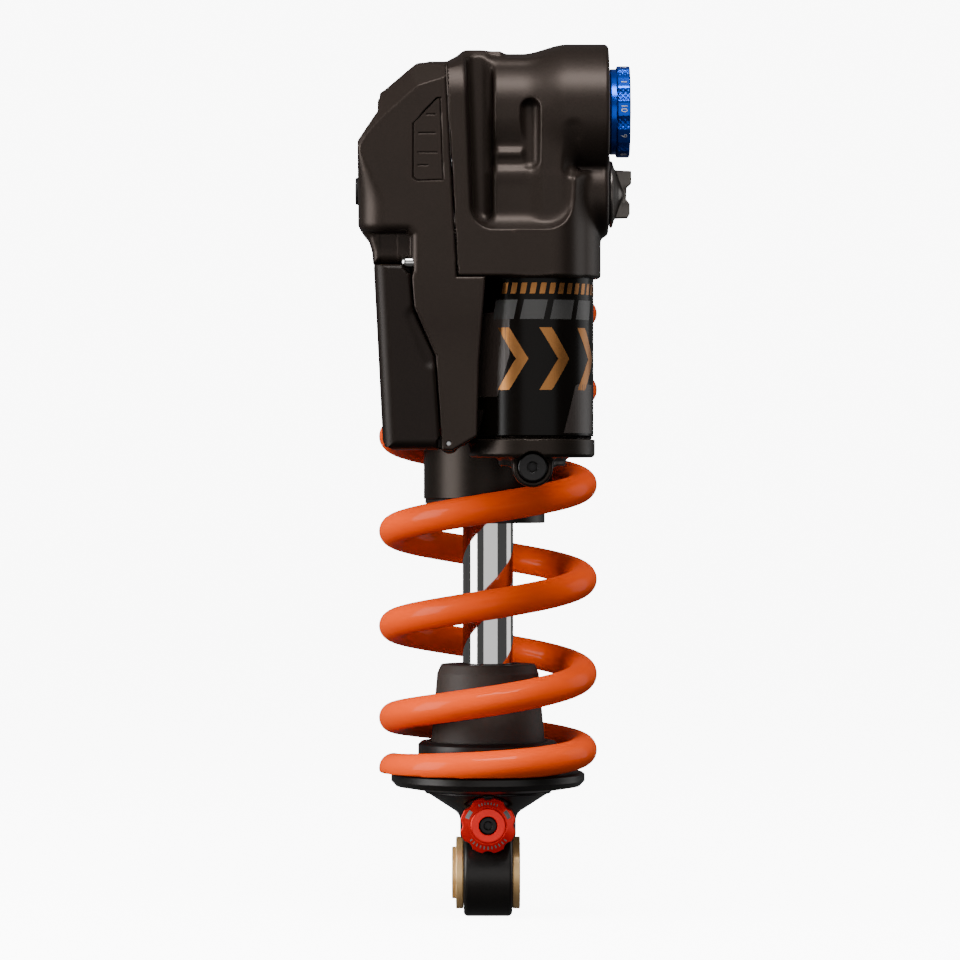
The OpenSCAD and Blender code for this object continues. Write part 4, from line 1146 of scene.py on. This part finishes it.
def make_print():
    """A plain pattern of bars and blocks in place of the maker's graphics."""
    bars = [[(t, 142.4), (t + 5.2, 142.4), (t + 7.0, 145.0), (t + 1.8, 145.0)]
            for t in range(-30, 88, 9)]
    for t in (-34, 6, 46):
        bars.append([(t, 119.6), (t + 12, 119.6), (t + 30, 127), (t + 18, 127)])
        bars.append([(t, 134.4), (t + 12, 134.4), (t + 30, 127), (t + 18, 127)])
    wrap("print_bars", bars, "foil_copper")
    wrap("print_blocks", [[(-78, 118), (-34, 118), (-22, 128), (-22, 138), (-78, 138)],
                          [(-78, 109.4), (-60, 109.4), (-52, 115), (-78, 115)],
                          [(30, 109.4), (74, 109.4), (74, 121), (44, 121)]], "print_brown")
    greys = [[(t, 136.4), (t + 22, 136.4), (t + 26, 141), (t + 4, 141)] for t in (-40, -12, 16, 44)]
    wrap("print_greys", greys, "print_grey")


make_reservoir()
make_print()


# ---------- adjusters on the right ----------

def dial_field(x, y, z):
    """Ten flats for numbers between knurled scallops, a plain neck and a stem."""
    low, high = node_box("compression_dial")
    u, w = y - DIAL[1], z - DIAL[2]
    radial = size(u, w)
    turn = np.arctan2(w, -u)
    tenth = math.pi / 5
    around = (turn + tenth / 2) % tenth - tenth / 2
    grip_x0 = high[0] - 3.3
    flat = radial * np.cos(around) - 10.93
    flat = np.maximum(flat, radial - 11)
    off = tenth / 2 - np.abs(around)
    scallop = size(radial * np.sin(off), radial * np.cos(off) - 13.6) - 3.15
    knurl = np.maximum(np.sin(turn * 60 + x * 5.2), np.sin(turn * 60 - x * 5.2))
    shape = carve(flat, scallop + 0.09 * knurl, 0.1)
    shape = meet(shape, slab(x, grip_x0, high[0]), 0.45)
    neck = rod(y, z, x, DIAL[1:], 10.3, FACE_X + 0.3, grip_x0 + 0.3, 0.3)
    shape = np.minimum(shape, neck)
    shape = np.minimum(shape, rod(y, z, x, DIAL[1:], 3, low[0], FACE_X + 0.5, 0.2))
    dish = meet(radial - 8.6 + 0.6 * (high[0] - x), high[0] - 0.5 - x, 0.1)
    shape = carve(shape, dish, 0.2)
    return carve(shape, meet(radial - 3.2, high[0] - 1.2 - x), 0.15)


def digits(text, height):
    """Outline of a number as a thin solid, from the built-in font: points and faces."""
    curve = bpy.data.curves.new("digits", "FONT")
    curve.body = text
    curve.size = height * 1.38
    curve.extrude = 0.06
    curve.align_x = "CENTER"
    curve.align_y = "CENTER"
    curve.resolution_u = 3
    holder = bpy.data.objects.new("digits", curve)
    bpy.context.scene.collection.objects.link(holder)
    bpy.context.view_layer.update()
    # its front, back and sides come unjoined: weld them into one closed solid
    solid = bmesh.new()
    solid.from_mesh(holder.to_mesh())
    bmesh.ops.remove_doubles(solid, verts=solid.verts, dist=1e-4)
    bmesh.ops.triangulate(solid, faces=solid.faces)
    bmesh.ops.recalc_face_normals(solid, faces=solid.faces)
    points = np.array([v.co[:] for v in solid.verts])
    faces = np.array([[v.index for v in f.verts] for f in solid.faces])
    solid.free()
    holder.to_mesh_clear()
    bpy.data.objects.remove(holder)
    bpy.data.curves.remove(curve)
    return points, faces


def make_dial():
    low, high = node_box("compression_dial")
    cast("dial_body", dial_field, low, high, 0.15, "blue_anodised", "dial",
         ["compression_dial"])
    numbers = []
    for place in range(10):
        points, faces = digits(str((place - 1) % 10 + 1), 1.5)
        angle = place * math.pi / 5
        # letters lie with their tops towards the head, on a flat tangent to the dial
        along, across, out = points[:, 0], points[:, 1], points[:, 2] + 10.95
        turned_y = -along * math.sin(angle) - out * math.cos(angle)
        turned_z = out * math.sin(angle) - along * math.cos(angle)
        placed = np.stack([high[0] - 1.65 + across, DIAL[1] + turned_y, DIAL[2] + turned_z], -1)
        numbers.append((placed, faces, placed * 0))
    points, faces, _ = merge(numbers)
    piece = add_piece("dial_numbers", points, faces, "mark_white", "dial")
    piece.data.shade_flat()
    low, high = node_box("dial_screw")
    hex_screw("dial_hex_screw", "x", (0, DIAL[1], DIAL[2]), 3, high[0] - 1, high[0], 1.25,
              "dial", "dial_screw", 1, dome=0.3)


def wing_field(x, y, z):
    """Conical disc with a narrow wing that is waisted for two fingers."""
    low, high = node_box("wing_knob")
    u, w = y - WING[1], z - WING[2]
    radial = size(u, w)
    plate = rod(y, z, x, WING[1:], 8, FACE_X + 0.3, high[0] - 3.4, 0.25)
    plate = meet(plate, beyond(radial, x, (8, FACE_X + 0.9), (0.6, 2.2)), 0.2)
    cone = meet(beyond(radial, x, (6.6, FACE_X + 0.9), (1.6, 3.2)), slab(x, 29.2, 32.6), 0.4)
    shape = melt(plate, cone, 0.6)
    tip, foot = high[0], 30
    profile = outline(x, w, [(foot, 5.8), (tip - 0.1, 5.6), (tip, 5.2), (tip, 2.6),
                             (tip - 1.1, 1.5), (tip - 1.2, -1.2), (tip - 0.35, -2.3),
                             (tip - 0.35, -4.8), (tip - 0.9, -5.7), (foot, -5.8)])
    waist = 1.8 - 0.5 * np.exp(-(w / 1.8) ** 2)
    wing = meet(profile, np.abs(u) - waist, 0.3)
    shape = melt(shape, wing, 0.4)
    return np.minimum(shape, rod(y, z, x, WING[1:], 2.5, low[0], 29.5, 0.2))


def make_adjusters():
    low, high = node_box("wing_knob")
    cast("wing_body", wing_field, low, high, 0.17, "gunmetal", "wing", ["wing_knob"])
    low, high = node_box("bleed_screw")
    hex_screw("bleed_screw_head", "z", (0, -4, 0), 3.4, high[2] - 2.2, high[2], 1.3,
              "damper", "bleed_screw", 1, dome=0.3)
    low, high = node_box("collar_screw")
    middle = (low + high) / 2
    hex_screw("collar_set_screw", "x", middle, 1.5, low[0], high[0], 0.75, "collar",
              "collar_screw", 1, dome=0.2, step=0.1)


make_dial()
make_adjusters()


# ---------- finishes of the CAD parts that stay ----------

def finish_cad():
    """Each CAD node that no piece stands for gets the finish that the record names."""
    for part in frame["record"]["subparts"]:
        paint(part["node"], part["material_slot"])


finish_cad()


# ---------- floor, light and finish ----------

def make_stage():
    """A pale round sweep: a floor that curves up into a wall on all sides."""
    floor_z = cad_bounds[0][2] / MM - 0.3
    reach, bend, wall_top, sectors = 2200, 500, 3000, 96
    profile = [(1, floor_z), (reach, floor_z)]
    for step in range(1, 17):
        angle = step / 16 * math.pi / 2
        profile.append((reach + bend * math.sin(angle), floor_z + bend * (1 - math.cos(angle))))
    profile.append((reach + bend, wall_top))
    points = [(r * math.cos(2 * math.pi * i / sectors), r * math.sin(2 * math.pi * i / sectors), z)
              for r, z in profile for i in range(sectors)]
    faces = [(row * sectors + i, row * sectors + (i + 1) % sectors,
              (row + 1) * sectors + (i + 1) % sectors, (row + 1) * sectors + i)
             for row in range(len(profile) - 1) for i in range(sectors)]
    faces.append(tuple(range(sectors)))
    mesh = bpy.data.meshes.new("sweep")
    mesh.from_pydata([tuple(c * MM for c in p) for p in points], [], faces)
    mesh.shade_smooth()
    paper = make_material("sweep_paper", (0.86, 0.86, 0.86), 0.9, tone=0.01, tone_size=300,
                          grain=0.01, grain_depth=0.01)
    surface = paper.node_tree.nodes["Principled BSDF"]
    surface.inputs["Emission Color"].default_value = (1, 1, 1, 1)
    surface.inputs["Emission Strength"].default_value = 9
    mesh.materials.append(paper)
    sweep = bpy.data.objects.new("sweep", mesh)
    bpy.context.scene.collection.objects.link(sweep)
    sweep.visible_glossy = False
    sweep.visible_diffuse = False


def add_light(name, turn, lift, distance, wide, tall, power, color=(1, 1, 1)):
    """A soft rectangular light, turned from the camera's side and lifted, aimed at the middle."""
    middle = Vector((0, -0.02, 0.1))
    turn, lift = math.radians(turn), math.radians(lift)
    way = Vector((math.sin(turn) * math.cos(lift), -math.cos(turn) * math.cos(lift),
                  math.sin(lift)))
    data = bpy.data.lights.new(name, "AREA")
    data.shape = "RECTANGLE"
    data.size, data.size_y = wide, tall
    data.energy = power
    data.color = color
    light = bpy.data.objects.new(name, data)
    light.location = middle + way * distance
    light.rotation_euler = (-way).to_track_quat("-Z", "Y").to_euler()
    bpy.context.scene.collection.objects.link(light)


def make_light():
    world = bpy.data.worlds.new("studio")
    bpy.context.scene.world = world
    world.use_nodes = True
    world.node_tree.nodes["Background"].inputs["Color"].default_value = (1, 1, 1, 1)
    world.node_tree.nodes["Background"].inputs["Strength"].default_value = 0.12
    add_light("left_box", -70, 12, 0.7, 0.45, 0.6, 10)
    add_light("top_box", 5, 56, 0.7, 0.5, 0.25, 9.5)
    add_light("front_fill", 12, -2, 1.6, 2.0, 0.9, 8)
    add_light("right_edge", 112, 10, 0.7, 0.4, 0.6, 1.4)
    add_light("wall_wash", 0, 75, 1.8, 2.5, 1.5, 8)


def write_sizes():
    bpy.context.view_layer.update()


make_stage()
make_light()
write_sizes()
